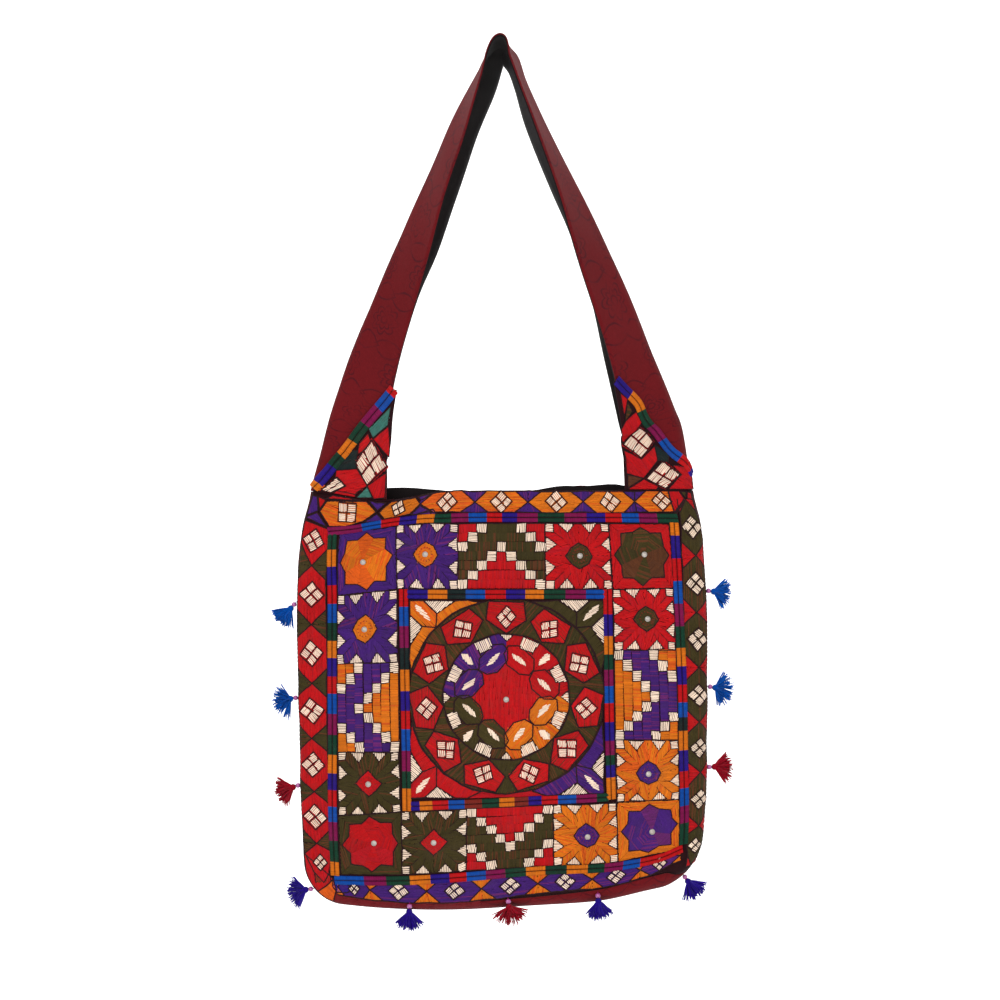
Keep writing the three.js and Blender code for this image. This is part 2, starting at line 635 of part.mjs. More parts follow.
for (const [i, spot] of sequins.entries()) {
  const holder = new THREE.Group();
  const [x, down] = [spot.across * halfWidth, spot.drop * pouchHeight];
  const reach = 2 * sequinRadius;
  const at = pouchPoint(-1, x, down, sequinGap + sequinThickness / 2);
  const right = pouchPoint(-1, x + reach, down).sub(pouchPoint(-1, x - reach, down));
  const low = pouchPoint(-1, x, down + reach).sub(pouchPoint(-1, x, down - reach));
  const out = low.cross(right).normalize();
  if (out.y > 0) out.negate();
  holder.position.copy(at);
  holder.quaternion.setFromUnitVectors(new THREE.Vector3(0, 1, 0), out);
  addPiece(`sequin_${i + 1}`, sequinBody(), dyes.mirror, holder);
  bag.add(holder);
}

for (const tassel of tassels) {
  const holder = new THREE.Group();
  const spot = { ...tassel, turn: degToRad(tassel.turn) };
  const seat = lerp(flatReach(spot), rimReach(spot), tassel.seat ?? 1);
  const place = outlinePlace(spot, core.side, core.bottom, seat);
  const angle = degToRad(tassel.points);
  const way = new THREE.Vector3(Math.cos(angle), 0, Math.sin(angle));
  const rim = pouchPoint(-1, place.x, place.y);
  const outward = pouchPoint(-1, place.x, place.y, 1).sub(rim).normalize();
  const slant = 1 - Math.abs(outward.dot(way));
  holder.position.copy(rim).addScaledVector(outward, layerGap + slant * beadRadius);
  holder.quaternion.setFromUnitVectors(new THREE.Vector3(0, 1, 0), way);
  addPiece(`tassel_${tassel.name}`, tasselBody(), dyes[tassel.yarn], holder);
  const bead = addPiece(`bead_${tassel.name}`, beadBody(), dyes.bead, holder);
  bead.position.set(0, beadLength / 2 + layerGap, 0);
  bag.add(holder);
}

bag.updateMatrixWorld(true);

export default bag;
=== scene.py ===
# An embroidered cloth shoulder bag that hangs by its strap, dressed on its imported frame.
# Cloth is laid out flat in millimetres, across from the middle and down from the mouth, and hung from there.
import math
import bpy
import bmesh
import numpy as np
from mathutils import Matrix, Vector


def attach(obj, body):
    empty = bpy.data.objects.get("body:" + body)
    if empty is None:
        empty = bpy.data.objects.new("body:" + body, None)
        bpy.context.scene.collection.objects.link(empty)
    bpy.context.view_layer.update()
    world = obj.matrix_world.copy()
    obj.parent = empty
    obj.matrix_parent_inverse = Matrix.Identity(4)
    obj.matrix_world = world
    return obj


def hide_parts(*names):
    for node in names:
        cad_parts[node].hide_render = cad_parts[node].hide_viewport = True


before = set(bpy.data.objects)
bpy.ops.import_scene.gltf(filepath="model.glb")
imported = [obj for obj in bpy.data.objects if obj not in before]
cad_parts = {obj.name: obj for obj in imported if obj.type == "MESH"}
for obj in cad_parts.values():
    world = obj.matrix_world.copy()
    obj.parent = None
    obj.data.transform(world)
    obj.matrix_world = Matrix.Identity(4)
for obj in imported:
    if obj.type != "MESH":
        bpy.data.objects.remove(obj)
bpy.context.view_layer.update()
rng = np.random.default_rng(11)
tau = 2 * math.pi

# the bag's form, the same as the frame's
pouch = dict(halfWidth=190.0, height=390.0, strapDrop=412.0, cornerRadius=36.0, leftEdge=7.0,
             rightEdge=13.0,
             frontDepth=17.0, backDepth=11.0, footStart=0.68, bellyPower=1.5, liftStart=0.45, drawStart=0.1,
             drawEnd=0.9, evenRise=0.25, gussetWidth=56.0, seamGap=0.8, seamTurn=4.0, layerGap=0.3,
             embroideredWall=2.0, plainWall=1.2, liningWall=1.0, liningGap=2.4, backCorner=0.8,
             riseFade=6)
coreSide = pouch["halfWidth"] - pouch["cornerRadius"]
coreBottom = pouch["height"] - pouch["cornerRadius"]

sections = dict(  # down the pouch: shares of halfWidth and of the belly
    drop=[0, 0.08, 0.18, 0.38, 0.6, 0.8, 1],
    left=[0.936, 0.976, 1, 1.002, 0.99, 0.98, 0.962],
    right=[0.936, 0.974, 0.992, 1.004, 1.002, 0.994, 0.96],
    belly=[0.3, 0.42, 0.62, 0.9, 1, 0.72, 0.3],
    backBelly=[0.35, 0.5, 0.68, 0.92, 1, 0.7, 0.3])
bottomRows = dict(  # along the bottom fold
    across=[-1, -0.6, -0.25, 0.15, 0.5, 0.8, 1],
    lift=[0.02, 0.004, 0, 0.01, 0.022, 0.052, 0.072],
    seam=[0.45, 0.42, 0.36, 0.25, 0, -0.15, -0.15])
slackSpots = [  # across, drop, wide, tall, sink, push
    (-0.62, 0.03, 0.24, 0.09, 0.027, 0.1), (-0.84, 0.14, 0.16, 0.12, 0.006, -0.25),
    (0.1, 0.3, 0.5, 0.07, 0, -0.12), (-0.35, 0.74, 0.3, 0.08, 0, 0.12),
    (0.62, 0.93, 0.22, 0.07, 0, -0.2), (-0.8, 0.94, 0.16, 0.07, 0, -0.18)]
strapForm = dict(flapWidth=50.0, footLevelling=0.22, toePlace=0.02, turnStep=0.05, foldCrowding=1.6,
                 footCrowding=0.4)
strapRows = np.array([  # across, climb, flare, frontTurn, backTurn
    (-1, 0, 1.64, 1, 1), (-0.932, 0.117, 1.41, 0.88, 0.8), (-0.853, 0.232, 1.25, 0.76, 0.67),
    (-0.743, 0.36, 1.13, 0.68, 0.6), (-0.629, 0.473, 1.09, 0.56, 0.51),
    (-0.518, 0.581, 1.07, 0.43, 0.5), (-0.398, 0.696, 1, 0.33, 0.45), (-0.279, 0.818, 1, 0.26, 0.37),
    (-0.162, 0.914, 0.98, 0.12, 0.31), (-0.078, 0.976, 0.96, 0, 0.22), (0, 1, 0.95, -0.05, 0.13),
    (0.077, 0.978, 0.96, 0.12, 0.15), (0.125, 0.922, 0.98, 0.11, 0.12), (0.212, 0.836, 1, 0.15, 0.19),
    (0.366, 0.709, 1, 0.27, 0.28), (0.492, 0.601, 1.09, 0.38, 0.31), (0.634, 0.468, 1.11, 0.51, 0.42),
    (0.773, 0.322, 1.16, 0.6, 0.65), (0.885, 0.203, 1.28, 0.73, 0.82), (0.942, 0.135, 1.36, 0.87, 0.82),
    (1, 0, 1.5, 1, 1)]).T
lastRow = strapRows.shape[1] - 1
strapStack = pouch["plainWall"] + pouch["layerGap"] + pouch["liningWall"]


def clamp(x, low, high):
    return np.minimum(np.maximum(x, low), high)


def mix(a, b, t):
    return a + (b - a) * t


def smooth(x, low, high):
    t = clamp((x - low) / (high - low), 0, 1)
    return t * t * (3 - 2 * t)


def rowAt(column, place):  # a smooth value between rows
    values = np.asarray(column, float)
    last = len(values) - 1
    held = clamp(np.asarray(place, float), 0, last)
    row = np.minimum(np.floor(held).astype(int), last - 1)
    t = held - row
    a, b, c, d = (values[clamp(row + k, 0, last)] for k in (-1, 0, 1, 2))
    return b + 0.5 * t * (c - a + t * (2 * a - 5 * b + 4 * c - d + t * (3 * (b - c) + d - a)))


def rowBy(keys, at, column):
    keys = np.asarray(keys, float)
    held = clamp(np.asarray(at, float), keys[0], keys[-1])
    row = clamp(np.searchsorted(keys, held, side="left") - 1, 0, len(keys) - 2)
    return rowAt(column, row + (held - keys[row]) / (keys[row + 1] - keys[row]))


def humps(across, drop, amount):
    return sum(s[amount] * np.exp(-((across - s[0]) / s[2]) ** 2 - ((drop - s[1]) / s[3]) ** 2)
               for s in slackSpots)


def hang(x, y, down):  # where a point of the flat pouch goes once it hangs
    height, half = pouch["height"], pouch["halfWidth"]
    drop, across = clamp(down / height, 0, 1), x / half
    left, right = (rowBy(sections["drop"], drop, sections[side]) for side in ("left", "right"))
    lift = rowBy(bottomRows["across"], across, bottomRows["lift"]) * smooth(drop, pouch["liftStart"], 1)
    beside = smooth(abs(across), pouch["drawStart"], pouch["drawEnd"])
    edge = np.maximum(beside, smooth(-down, 0, half * pouch["evenRise"]))
    z = -pouch["strapDrop"] - down + height * (lift - humps(across, down / height, 4))
    return np.stack(np.broadcast_arrays(x * mix(1, np.where(across < 0, left, right), edge), y, z), -1)


def rimRadius(across):
    return mix(pouch["leftEdge"], pouch["rightEdge"], smooth(across, -coreSide, 0))


def belly(face, x, down):  # how far a wall stands out
    drop, across = clamp(down / pouch["height"], 0, 1), x / pouch["halfWidth"]
    foot = 1 - smooth(down, pouch["height"] * pouch["footStart"], pouch["height"] - rimRadius(x))
    fall = np.maximum(0, 1 - across ** 2) ** pouch["bellyPower"]
    front = pouch["frontDepth"] * (rowBy(sections["drop"], drop, sections["belly"]) + humps(across, drop,
                                                                                            5))
    back = pouch["backDepth"] * rowBy(sections["drop"], drop, sections["backBelly"])
    return np.where(face < 0, front, back) * fall * foot


def pouchPoint(face, across, down, lift=0.0):  # a place on the pouch; face is -1 in front, 1 behind
    across, down, lift = (np.asarray(v, float) for v in np.broadcast_arrays(across, down, lift))
    nearX, nearDown = clamp(across, -coreSide, coreSide), np.minimum(down, coreBottom)
    outX, outDown = across - nearX, down - nearDown
    radius, reach = rimRadius(nearX), np.hypot(outX, outDown)
    flat = pouch["cornerRadius"] - radius
    dirX, dirDown = outX / np.maximum(reach, 1e-9), outDown / np.maximum(reach, 1e-9)
    turn = np.minimum(np.maximum(reach - flat, 0) / radius, np.pi)
    along = flat + (radius + lift) * np.sin(turn) - np.maximum(reach - flat - np.pi * radius, 0)
    mirrored = 2 * flat + np.pi * radius - reach
    behind = belly(-face, nearX + dirX * mirrored, nearDown + dirDown * mirrored)
    swell = np.where(turn > np.pi / 2, behind, belly(face, across, down))
    inside = reach <= flat
    x, d = np.where(inside, across, nearX + dirX * along), np.where(inside, down,
                                                                    nearDown + dirDown * along)
    plain = face * (radius + lift + belly(face, across, down))
    return hang(x, np.where(inside, plain, face * np.cos(turn) * (radius + lift + swell)), d)


puckers = dict(broad=0.55, close=0.22)  # millimetres up and down


def pucker(across, down):  # the uneven, stitched-down surface of the front
    a, d = across / pouch["halfWidth"], down / pouch["height"]
    wave = np.sin(17 * a + 3 * np.sin(5 * d)) * np.sin(21 * d + 2 * np.sin(7 * a))
    fine = np.sin(61 * a + 9 * d + 1.3) * np.sin(57 * d - 11 * a)
    return puckers["broad"] * wave + puckers["close"] * fine


def onFront(across, down, lift):
    return pouchPoint(-1, across, down, lift + pucker(across, down))


# outlines of the cloth pieces, as in the frame
cornerShare = 5 / 22  # of the lower outline that one corner takes
sideShare = 13 / 48  # of the whole outline that one straight side takes
gussetFold = 2 / 7  # of the gusset's width that turns round the seam


def columnSpot(u):  # across, drop and turn along the sheet's lower outline
    u = np.asarray(u, float)
    late = u - (1 - cornerShare)
    base = (u - cornerShare) / (1 - 2 * cornerShare) * 2 - 1
    turn = np.where(u < cornerShare, np.pi / 2 * (u / cornerShare - 1),
                    np.where(late > 0, np.pi / 2 * late / cornerShare, 0))
    return clamp(base, -1, 1), np.ones_like(u), turn


def outlineSpot(u):  # the same with both straight sides
    u = np.asarray(u, float)
    across, drop, turn = columnSpot(clamp((u - sideShare) / (1 - 2 * sideShare), 0, 1))
    drop = np.where(u < sideShare, u / sideShare, np.where(u > 1 - sideShare, (1 - u) / sideShare, drop))
    return across, drop, turn


def outlinePlace(spot, side, bottom, reach):
    return spot[0] * side + np.sin(spot[2]) * reach, spot[1] * bottom + np.cos(spot[2]) * reach


def flatReach(spot):
    return pouch["cornerRadius"] - rimRadius(spot[0] * coreSide)


def seamArc(spot):
    x = spot[0] * coreSide
    low = rowBy(bottomRows["across"], x / pouch["halfWidth"], bottomRows["seam"]) * rimRadius(x)
    return mix(low, np.pi / 2 * rimRadius(x), smooth(abs(spot[2]), 0.1, 1))


def rimReach(spot):
    return flatReach(spot) + np.pi / 2 * rimRadius(spot[0] * coreSide)


def wrapReach(spot):
    return flatReach(spot) + np.pi * rimRadius(spot[0] * coreSide) - seamArc(spot)


def frontEdge(u):  # the front panel's lower outline, in cloth millimetres
    spot = columnSpot(u)
    return outlinePlace(spot, coreSide, coreBottom, flatReach(spot) + seamArc(spot))


def frontPoint(u, v, lift):
    x, bottom = frontEdge(u)
    return onFront(x, v * bottom, lift)


backCorner = pouch["cornerRadius"] * pouch["backCorner"]
backFoot = coreBottom + float(wrapReach(columnSpot(0.5))) - pouch["gussetWidth"]


def backSide(across):
    side = np.where(across < 0, -1, 1)
    return pouch["halfWidth"] + (np.pi / 2 - 1) * rimRadius(side
                                                            * coreSide) - pouch["gussetWidth"] - backCorner


def gussetPoint(u, v, lift):
    spot = outlineSpot(u)
    reach = wrapReach(spot) - pouch["seamGap"]
    outer = outlinePlace(spot, coreSide, coreBottom, reach)
    fold = outlinePlace(spot, coreSide, coreBottom, np.minimum(rimReach(spot), reach - pouch["seamTurn"]))
    inner = outlinePlace(spot, backSide(spot[0]), backFoot - backCorner, backCorner)
    past = clamp((v - gussetFold) / (1 - gussetFold), 0, 1)
    x, down = (np.where(v < gussetFold, mix(o, f, v / gussetFold), mix(f, i, past)) for o, f,
               i in zip(outer, fold, inner))
    return pouchPoint(1, x, down, lift)


backRises = [(-0.38, 0.19, 0.006), (0.4, 0.2, 0.012)]  # across, half and height of the mouth's higher spots


def backRim(x, rises=backRises):
    total = 0
    for middle, half, height in rises:
        off = np.minimum(abs(x / pouch["halfWidth"] - middle) / half, 1)
        total = total + pouch["height"] * height * np.cos(off * np.pi / 2) ** 2
    return total


def backPoint(u, v, lift):
    spot = columnSpot(1 - u)
    x, bottom = outlinePlace(spot, backSide(spot[0]), backFoot - backCorner, backCorner - pouch["layerGap"])
    return pouchPoint(1, x, v * bottom - backRim(x) * (1 - v) ** pouch["riseFade"], lift)


def foldLine(place):
    x = rowAt(strapRows[0], place) * pouch["halfWidth"]
    return x, -(pouch["strapDrop"] + strapStack) * rowAt(strapRows[1], place)


def strapPoint(place, across, lift):  # across runs from -1 at the front edge over the fold to 1 at the back
    foldX, foldDown = foldLine(place)
    step = strapForm["turnStep"]
    (ax, ad), (bx, bd) = foldLine(np.maximum(place - step, 0)), foldLine(np.minimum(place + step, lastRow))
    long = np.hypot(bx - ax, bd - ad)
    level = 1 - smooth(rowAt(strapRows[1], place), 0, strapForm["footLevelling"])
    inX = mix(-(bd - ad) / long, np.where(place < lastRow / 2, 1, -1), level)
    inDown = mix((bx - ax) / long, 0, level)
    size = np.hypot(inX, inDown)
    inX, inDown = inX / size, inDown / size
    radius = mix(pouch["leftEdge"], pouch["rightEdge"], place / lastRow)
    length = abs(across) * strapForm["flapWidth"] * rowAt(strapRows[2], place)
    turn = np.pi / 2 * np.where(across < 0, rowAt(strapRows[3], place), rowAt(strapRows[4], place))
    bend = abs(turn)
    angle = np.minimum(length / radius, bend)
    straight = length - angle * radius
    depth = radius * np.sin(angle) + straight * np.cos(bend) + lift * np.sin(angle)
    tuck = radius * (1 - np.cos(angle)) + straight * np.sin(bend)
    inside = np.where(turn < 0, -1, 1) * tuck - lift * np.cos(angle)
    side = np.where(across < 0, -1, 1)
    x = foldX + inX * inside
    swell = np.where(across < 0, belly(-1, x, 0), belly(1, x, 0)) * level * smooth(length, radius,
                                                                                   3 * radius)
    return hang(x, side * (depth + swell), foldDown + inDown * inside)


def flapShare(t):
    return np.sign(t) * abs(t) ** strapForm["foldCrowding"]


def strapSheet(u, v, lift):
    along = mix(v, 0.5 - 0.5 * np.cos(v * np.pi), strapForm["footCrowding"])
    toe = strapForm["toePlace"]
    return strapPoint(mix(toe, lastRow - toe, along), flapShare(2 * u - 1), lift)


# shader groups
def newGroup(name, inputs, outputs):
    group = bpy.data.node_groups.new(name, "ShaderNodeTree")
    for label, kind, value in inputs:
        socket = group.interface.new_socket(label, in_out="INPUT", socket_type="NodeSocket" + kind)
        socket.default_value = value
    for label, kind in outputs:
        group.interface.new_socket(label, in_out="OUTPUT", socket_type="NodeSocket" + kind)
    return group, Wiring(group, group.nodes.new("NodeGroupInput"), group.nodes.new("NodeGroupOutput"))


class Wiring:  # short ways to place and join nodes in one tree
    def __init__(self, tree, source=None, sink=None):
        self.tree, self.source, self.sink = tree, source, sink

    def put(self, socket, value):
        if isinstance(value, bpy.types.NodeSocket):
            self.tree.links.new(value, socket)
        elif value is not None:
            socket.default_value = value

    def node(self, kind, inputs=(), **settings):
        made = self.tree.nodes.new("ShaderNode" + kind)
        for key, value in settings.items():
            setattr(made, key, value)
        for key, value in dict(inputs).items():
            self.put(made.inputs[key], value)
        return made

    def math(self, operation, a, b=None):
        made = self.tree.nodes.new("ShaderNodeMath")
        made.operation = operation
        for socket, value in zip(made.inputs, (a, b)):
            self.put(socket, value)
        return made.outputs[0]

    def times(self, a, b):
        return self.math("MULTIPLY", a, b)

    def plus(self, a, b):
        return self.math("ADD", a, b)

    def blend(self, share, a, b):
        made = self.tree.nodes.new("ShaderNodeMix")
        made.data_type, made.blend_type = "RGBA", "MIX"
        for socket, value in zip((made.inputs[0], made.inputs[6], made.inputs[7]), (share, a, b)):
            self.put(socket, value)
        return made.outputs[2]

    def noise(self, vector, scale, detail=2.0, rough=0.5):
        made = self.node("TexNoise", {"Vector": vector, "Scale": scale, "Detail": detail,
                                      "Roughness": rough})
        return made.outputs["Fac"]

    def ramp(self, value, low, high):  # 0 at low, 1 at high
        made = self.node("MapRange", {"Value": value, "From Min": low, "From Max": high}, clamp=True)
        return made.outputs[0]


def weaveGroup():  # plain weave: threads over and under, from cloth metres
    group, w = newGroup("plainWeave", [("Vector", "Vector", (0, 0, 0)), ("Threads", "Float", 1400.0)],
                        [("Height", "Float"), ("Shade", "Float")])
    place = w.node("SeparateXYZ", {"Vector": w.source.outputs["Vector"]})
    count = w.times(w.source.outputs["Threads"], math.pi)
    warp = w.math("SINE", w.times(place.outputs["X"], count))
    weft = w.math("SINE", w.times(place.outputs["Y"], count))
    slub = w.noise(w.source.outputs["Vector"], 420.0, 3.0)
    over = w.times(w.times(warp, weft), 0.5)
    w.put(w.sink.inputs["Height"], w.plus(over, w.times(slub, 0.9)))
    w.put(w.sink.inputs["Shade"], w.plus(w.times(over, 0.35), w.times(slub, 0.6)))
    return group


def flossGroup():  # fibres along a laid thread, from its own UV: along in metres, round from 0 to 1
    group, w = newGroup("flossFibres", [("Vector", "Vector", (0, 0, 0)), ("Twist", "Float", 900.0)],
                        [("Height", "Float"), ("Shade", "Float")])
    place = w.node("SeparateXYZ", {"Vector": w.source.outputs["Vector"]})
    lean = w.plus(w.times(place.outputs["X"], w.source.outputs["Twist"]), place.outputs["Y"])
    stretched = w.node("CombineXYZ", {"X": w.times(place.outputs["X"], 160.0),
                                      "Y": w.times(place.outputs["Y"], 5.0)}).outputs[0]
    streak = w.noise(stretched, 2.2, 3.0, 0.6)
    ply = w.math("SINE", w.times(lean, tau))
    w.put(w.sink.inputs["Height"], w.plus(streak, w.times(ply, 0.12)))
    w.put(w.sink.inputs["Shade"], streak)
    return group


def mottleGroup():  # slow fading and handling dirt over an area, from object metres; on the beads it places a painted highlight
    group, w = newGroup("mottle", [("Vector", "Vector", (0, 0, 0)), ("Scale", "Float", 18.0)],
                        [("Shade", "Float"), ("Dirt", "Float")])
    broad = w.noise(w.source.outputs["Vector"], w.source.outputs["Scale"], 4.0, 0.55)
    close = w.noise(w.source.outputs["Vector"], w.times(w.source.outputs["Scale"], 7.0), 3.0, 0.6)
    w.put(w.sink.inputs["Shade"], broad)
    w.put(w.sink.inputs["Dirt"], w.ramp(w.times(broad, close), 0.24, 0.42))
    return group


def printGroup():  # block print: rows of eight-petalled rosettes with a meandering vine between them
    group, w = newGroup("blockPrint", [("Vector", "Vector", (0, 0, 0)), ("Repeat", "Float", 0.052),
                                       ("Line", "Float", 0.03)],
                        [("Ink", "Float")])
    scaled = w.node("VectorMath", {0: w.source.outputs["Vector"]}, operation="DIVIDE")
    w.put(scaled.inputs[1], w.node("CombineXYZ", {"X": w.source.outputs["Repeat"],
                                                  "Y": w.source.outputs["Repeat"],
                                                  "Z": 1.0}).outputs[0])
    wobble = w.node("TexNoise", {"Vector": scaled.outputs[0], "Scale": 5.0, "Detail": 2.0})
    shaken = w.node("VectorMath", {0: wobble.outputs["Color"], 1: (0.07, 0.07, 0), 2: scaled.outputs[0]},
                    operation="MULTIPLY_ADD")
    place = w.node("SeparateXYZ", {"Vector": shaken.outputs[0]})
    row = w.math("FLOOR", place.outputs["Y"])
    shift = w.times(w.math("FLOORED_MODULO", row, 2.0), 0.5)
    x = w.math("SUBTRACT", w.math("FRACT", w.plus(place.outputs["X"], shift)), 0.5)
    y = w.math("SUBTRACT", w.math("FRACT", place.outputs["Y"]), 0.5)
    reach = w.math("SQRT", w.plus(w.times(x, x), w.times(y, y)))
    angle = w.math("ARCTAN2", y, x)
    lines = []
    for size, deep, petals in ((0.3, 0.3, 4.0), (0.19, 0.35, 4.0), (0.07, 0.0, 4.0)):
        lobe = w.math("ABSOLUTE", w.math("COSINE", w.times(angle, petals)))
        edge = w.times(w.plus(w.times(lobe, deep), 1.0 - deep), size)
        lines.append(w.math("ABSOLUTE", w.math("SUBTRACT", reach, edge)))
    for turn, swing in ((1.0, 0.16), (-1.0, 0.1)):
        vine = w.times(w.math("SINE", w.times(place.outputs["X"], tau)), swing * turn)
        off = w.math("SUBTRACT", w.math("ABSOLUTE", w.plus(y, vine)), 0.46)
        lines.append(w.math("ABSOLUTE", off))
    nearest = lines[0]
    for other in lines[1:]:
        nearest = w.math("MINIMUM", nearest, other)
    ink = w.math("SUBTRACT", 1.0,
                 w.node("MapRange", {"Value": nearest, "From Min": w.times(w.source.outputs["Line"], 0.4),
                                                      "From Max": w.source.outputs["Line"]},
                        clamp=True).outputs[0])
    patchy = w.ramp(w.noise(w.source.outputs["Vector"], 65.0, 3.0), 0.34, 0.58)
    w.put(w.sink.inputs["Ink"], w.times(ink, patchy))
    return group


weave, floss, mottle, blockPrint = weaveGroup(), flossGroup(), mottleGroup(), printGroup()


def srgb(r, g, b):  # a colour as the eye names it, to the shader's linear values
    return tuple(((c / 255 + 0.055) / 1.055) ** 2.4 if c > 10 else c / 255 / 12.92 for c in (r, g,
                                                                                             b)) + (1.0,)


def newMaterial(name, roughness, sheen=0.0):
    material = bpy.data.materials.new(name)
    material.use_nodes = True
    w = Wiring(material.node_tree)
    shader = material.node_tree.nodes["Principled BSDF"]
    shader.inputs["Roughness"].default_value = roughness
    shader.inputs["Sheen Weight"].default_value = sheen
    return material, w, shader


def useGroup(w, group, **inputs):
    made = w.tree.nodes.new("ShaderNodeGroup")
    made.node_tree = group
    for key, value in inputs.items():
        w.put(made.inputs[key], value)
    return made


def addBump(w, shader, height, strength, distance):
    bump = w.node("Bump", {"Strength": strength, "Distance": distance, "Height": height})
    w.put(shader.inputs["Normal"], bump.outputs[0])


# every embroidery and braid thread takes its own dye and shade from the piece
flossLook = dict(roughness=0.6, sheen=0.02, streak=0.6, fade=0.18, bump=0.4, gloss=0.12, twist=500.0,
                 grain=22.0, dirt=(60, 45, 38), depth=0.0004)


def flossMaterial(name, look):
    material, w, shader = newMaterial(name, look["roughness"], look["sheen"])
    shader.inputs["Specular IOR Level"].default_value = look["gloss"]
    shader.inputs["Sheen Roughness"].default_value = 0.4
    uv = w.node("UVMap").outputs[0]
    fibres = useGroup(w, floss, Vector=uv, Twist=look["twist"])
    dye = w.node("Attribute", attribute_name="dye").outputs["Color"]
    shade = w.node("Attribute", attribute_name="shade").outputs["Fac"]
    cloud = useGroup(w, mottle, Vector=w.node("TexCoord").outputs["Object"], Scale=look["grain"])
    light = w.plus(w.times(fibres.outputs["Shade"], look["streak"]), w.times(cloud.outputs["Shade"],
                                                                             look["fade"] * 2))
    value = w.times(w.plus(light, 1.0 - look["streak"] / 2 - look["fade"]), shade)
    hue = w.node("HueSaturation", {"Color": dye, "Value": value, "Saturation": 1.0})
    w.put(shader.inputs["Base Color"], w.blend(w.times(cloud.outputs["Dirt"], look["fade"]),
                                               hue.outputs[0], srgb(*look["dirt"])))
    addBump(w, shader, fibres.outputs["Height"], look["bump"], look["depth"])
    return material


clothLook = dict(dye=(94, 12, 18), ink=(44, 8, 18), threads=1500.0, repeat=0.042, line=0.024, strength=0.6,
                 roughness=0.85, sheen=0.04, gloss=0.08, grain=14.0, fade=0.5, faded=0.55, bump=0.5,
                 depth=0.0003)


def clothMaterial(name, look, printed):
    material, w, shader = newMaterial(name, look["roughness"], look["sheen"])
    shader.inputs["Specular IOR Level"].default_value = look["gloss"]
    uv = w.node("UVMap").outputs[0]
    threads = useGroup(w, weave, Vector=uv, Threads=look["threads"])
    cloud = useGroup(w, mottle, Vector=w.node("TexCoord").outputs["Object"], Scale=look["grain"])
    dye = srgb(*look["dye"])
    colour = w.blend(w.times(cloud.outputs["Shade"], look["fade"]), dye,
                     tuple(c * look["faded"] for c in dye[:3]) + (1.0,))
    if printed:
        ink = useGroup(w, blockPrint, Vector=uv, Repeat=look["repeat"], Line=look["line"])
        colour = w.blend(w.times(ink.outputs["Ink"], look["strength"]), colour, srgb(*look["ink"]))
    value = w.plus(w.times(threads.outputs["Shade"], 0.5), 0.8)
    hue = w.node("HueSaturation", {"Color": colour, "Value": value})
    w.put(shader.inputs["Base Color"], hue.outputs[0])
    addBump(w, shader, threads.outputs["Height"], look["bump"], look["depth"])
    return material


finishes = dict(
    floss=flossMaterial("silkFloss", flossLook),
    cotton=flossMaterial("cottonThread", dict(flossLook, roughness=0.85, sheen=0.02, streak=0.35,
                                              fade=0.16, bump=0.3, gloss=0.06)),
    yarn=flossMaterial("woolYarn", dict(flossLook, roughness=0.9, sheen=0.06, streak=0.6, fade=0.1,
                                        bump=0.5, gloss=0.05, twist=1400.0)),
    printed=clothMaterial("printedCotton", clothLook, True),
    black=clothMaterial("blackLining", dict(clothLook, dye=(21, 15, 16), threads=1300.0), False),
    ground=clothMaterial("darkGround", dict(clothLook, dye=(34, 8, 12), threads=1100.0), False))
print("materials ready")


# meshes
def smoothMesh(bm, name):
    for face in bm.faces:
        face.smooth = True
    mesh = bpy.data.meshes.new(name)
    bm.to_mesh(mesh)
    bm.free()
    return mesh


def finishPiece(name, mesh, material, nodes):  # the piece rides on the bag and stands for its nodes
    piece = bpy.data.objects.new(name, mesh)
    bpy.context.collection.objects.link(piece)
    mesh.materials.append(material)
    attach(piece, "root")
    if nodes:
        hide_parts(*nodes)
    return piece


# a sheet on a skin
def clothSheet(name, point, columns, rows, size, thick, material, slot, nodes, lift=0.0):
    bm = bmesh.new()
    layer = bm.loops.layers.uv.new("UVMap")
    bmesh.ops.create_grid(bm, x_segments=columns, y_segments=rows, size=0.5)
    bm.verts.ensure_lookup_table()
    flat = np.array([v.co for v in bm.verts]) + 0.5
    places = point(flat[:, 0], flat[:, 1], lift) / 1000
    for face in bm.faces:
        for loop in face.loops:
            loop[layer].uv = ((loop.vert.co.x + 0.5) * size[0], (loop.vert.co.y + 0.5) * size[1])
    for vert, place in zip(bm.verts, places):
        vert.co = place
    raised = point(flat[:, 0], flat[:, 1], lift + 1) / 1000 - places
    bm.normal_update()
    if sum(vert.normal.dot(Vector(rise)) for vert, rise in zip(bm.verts, raised)) < 0:
        bmesh.ops.reverse_faces(bm, faces=bm.faces)
    piece = finishPiece(name, smoothMesh(bm, name), material, nodes)
    wall = piece.modifiers.new("wall", "SOLIDIFY")
    wall.thickness, wall.offset = thick / 1000, -1
    return piece




# stitches: half-round lengths of thread laid on a surface
dyes = {name: srgb(*colour) for name, colour in dict(
    red=(159, 3, 9), purple=(53, 18, 92), orange=(181, 93, 9), olive=(49, 41, 12), white=(214, 192, 172),
    maroon=(30, 7, 11), magenta=(106, 4, 60), blue=(0, 60, 136), navy=(28, 8, 104), green=(6, 48, 32),
    forest=(6, 42, 28), ink=(12, 26, 26), rust=(104, 28, 18), teal=(48, 96, 86), brown=(74, 38, 22),
    amber=(182, 74, 10), violet=(84, 24, 86), umber=(76, 40, 18), crimson=(150, 6, 18),
                                                     madder=(94, 12, 18)).items()}


# the dye that runs through some of another dye's threads, and how often
streaks = dict(orange=("amber", 0.3), purple=("violet", 0.16), olive=("umber", 0.22), red=("crimson", 0.25))


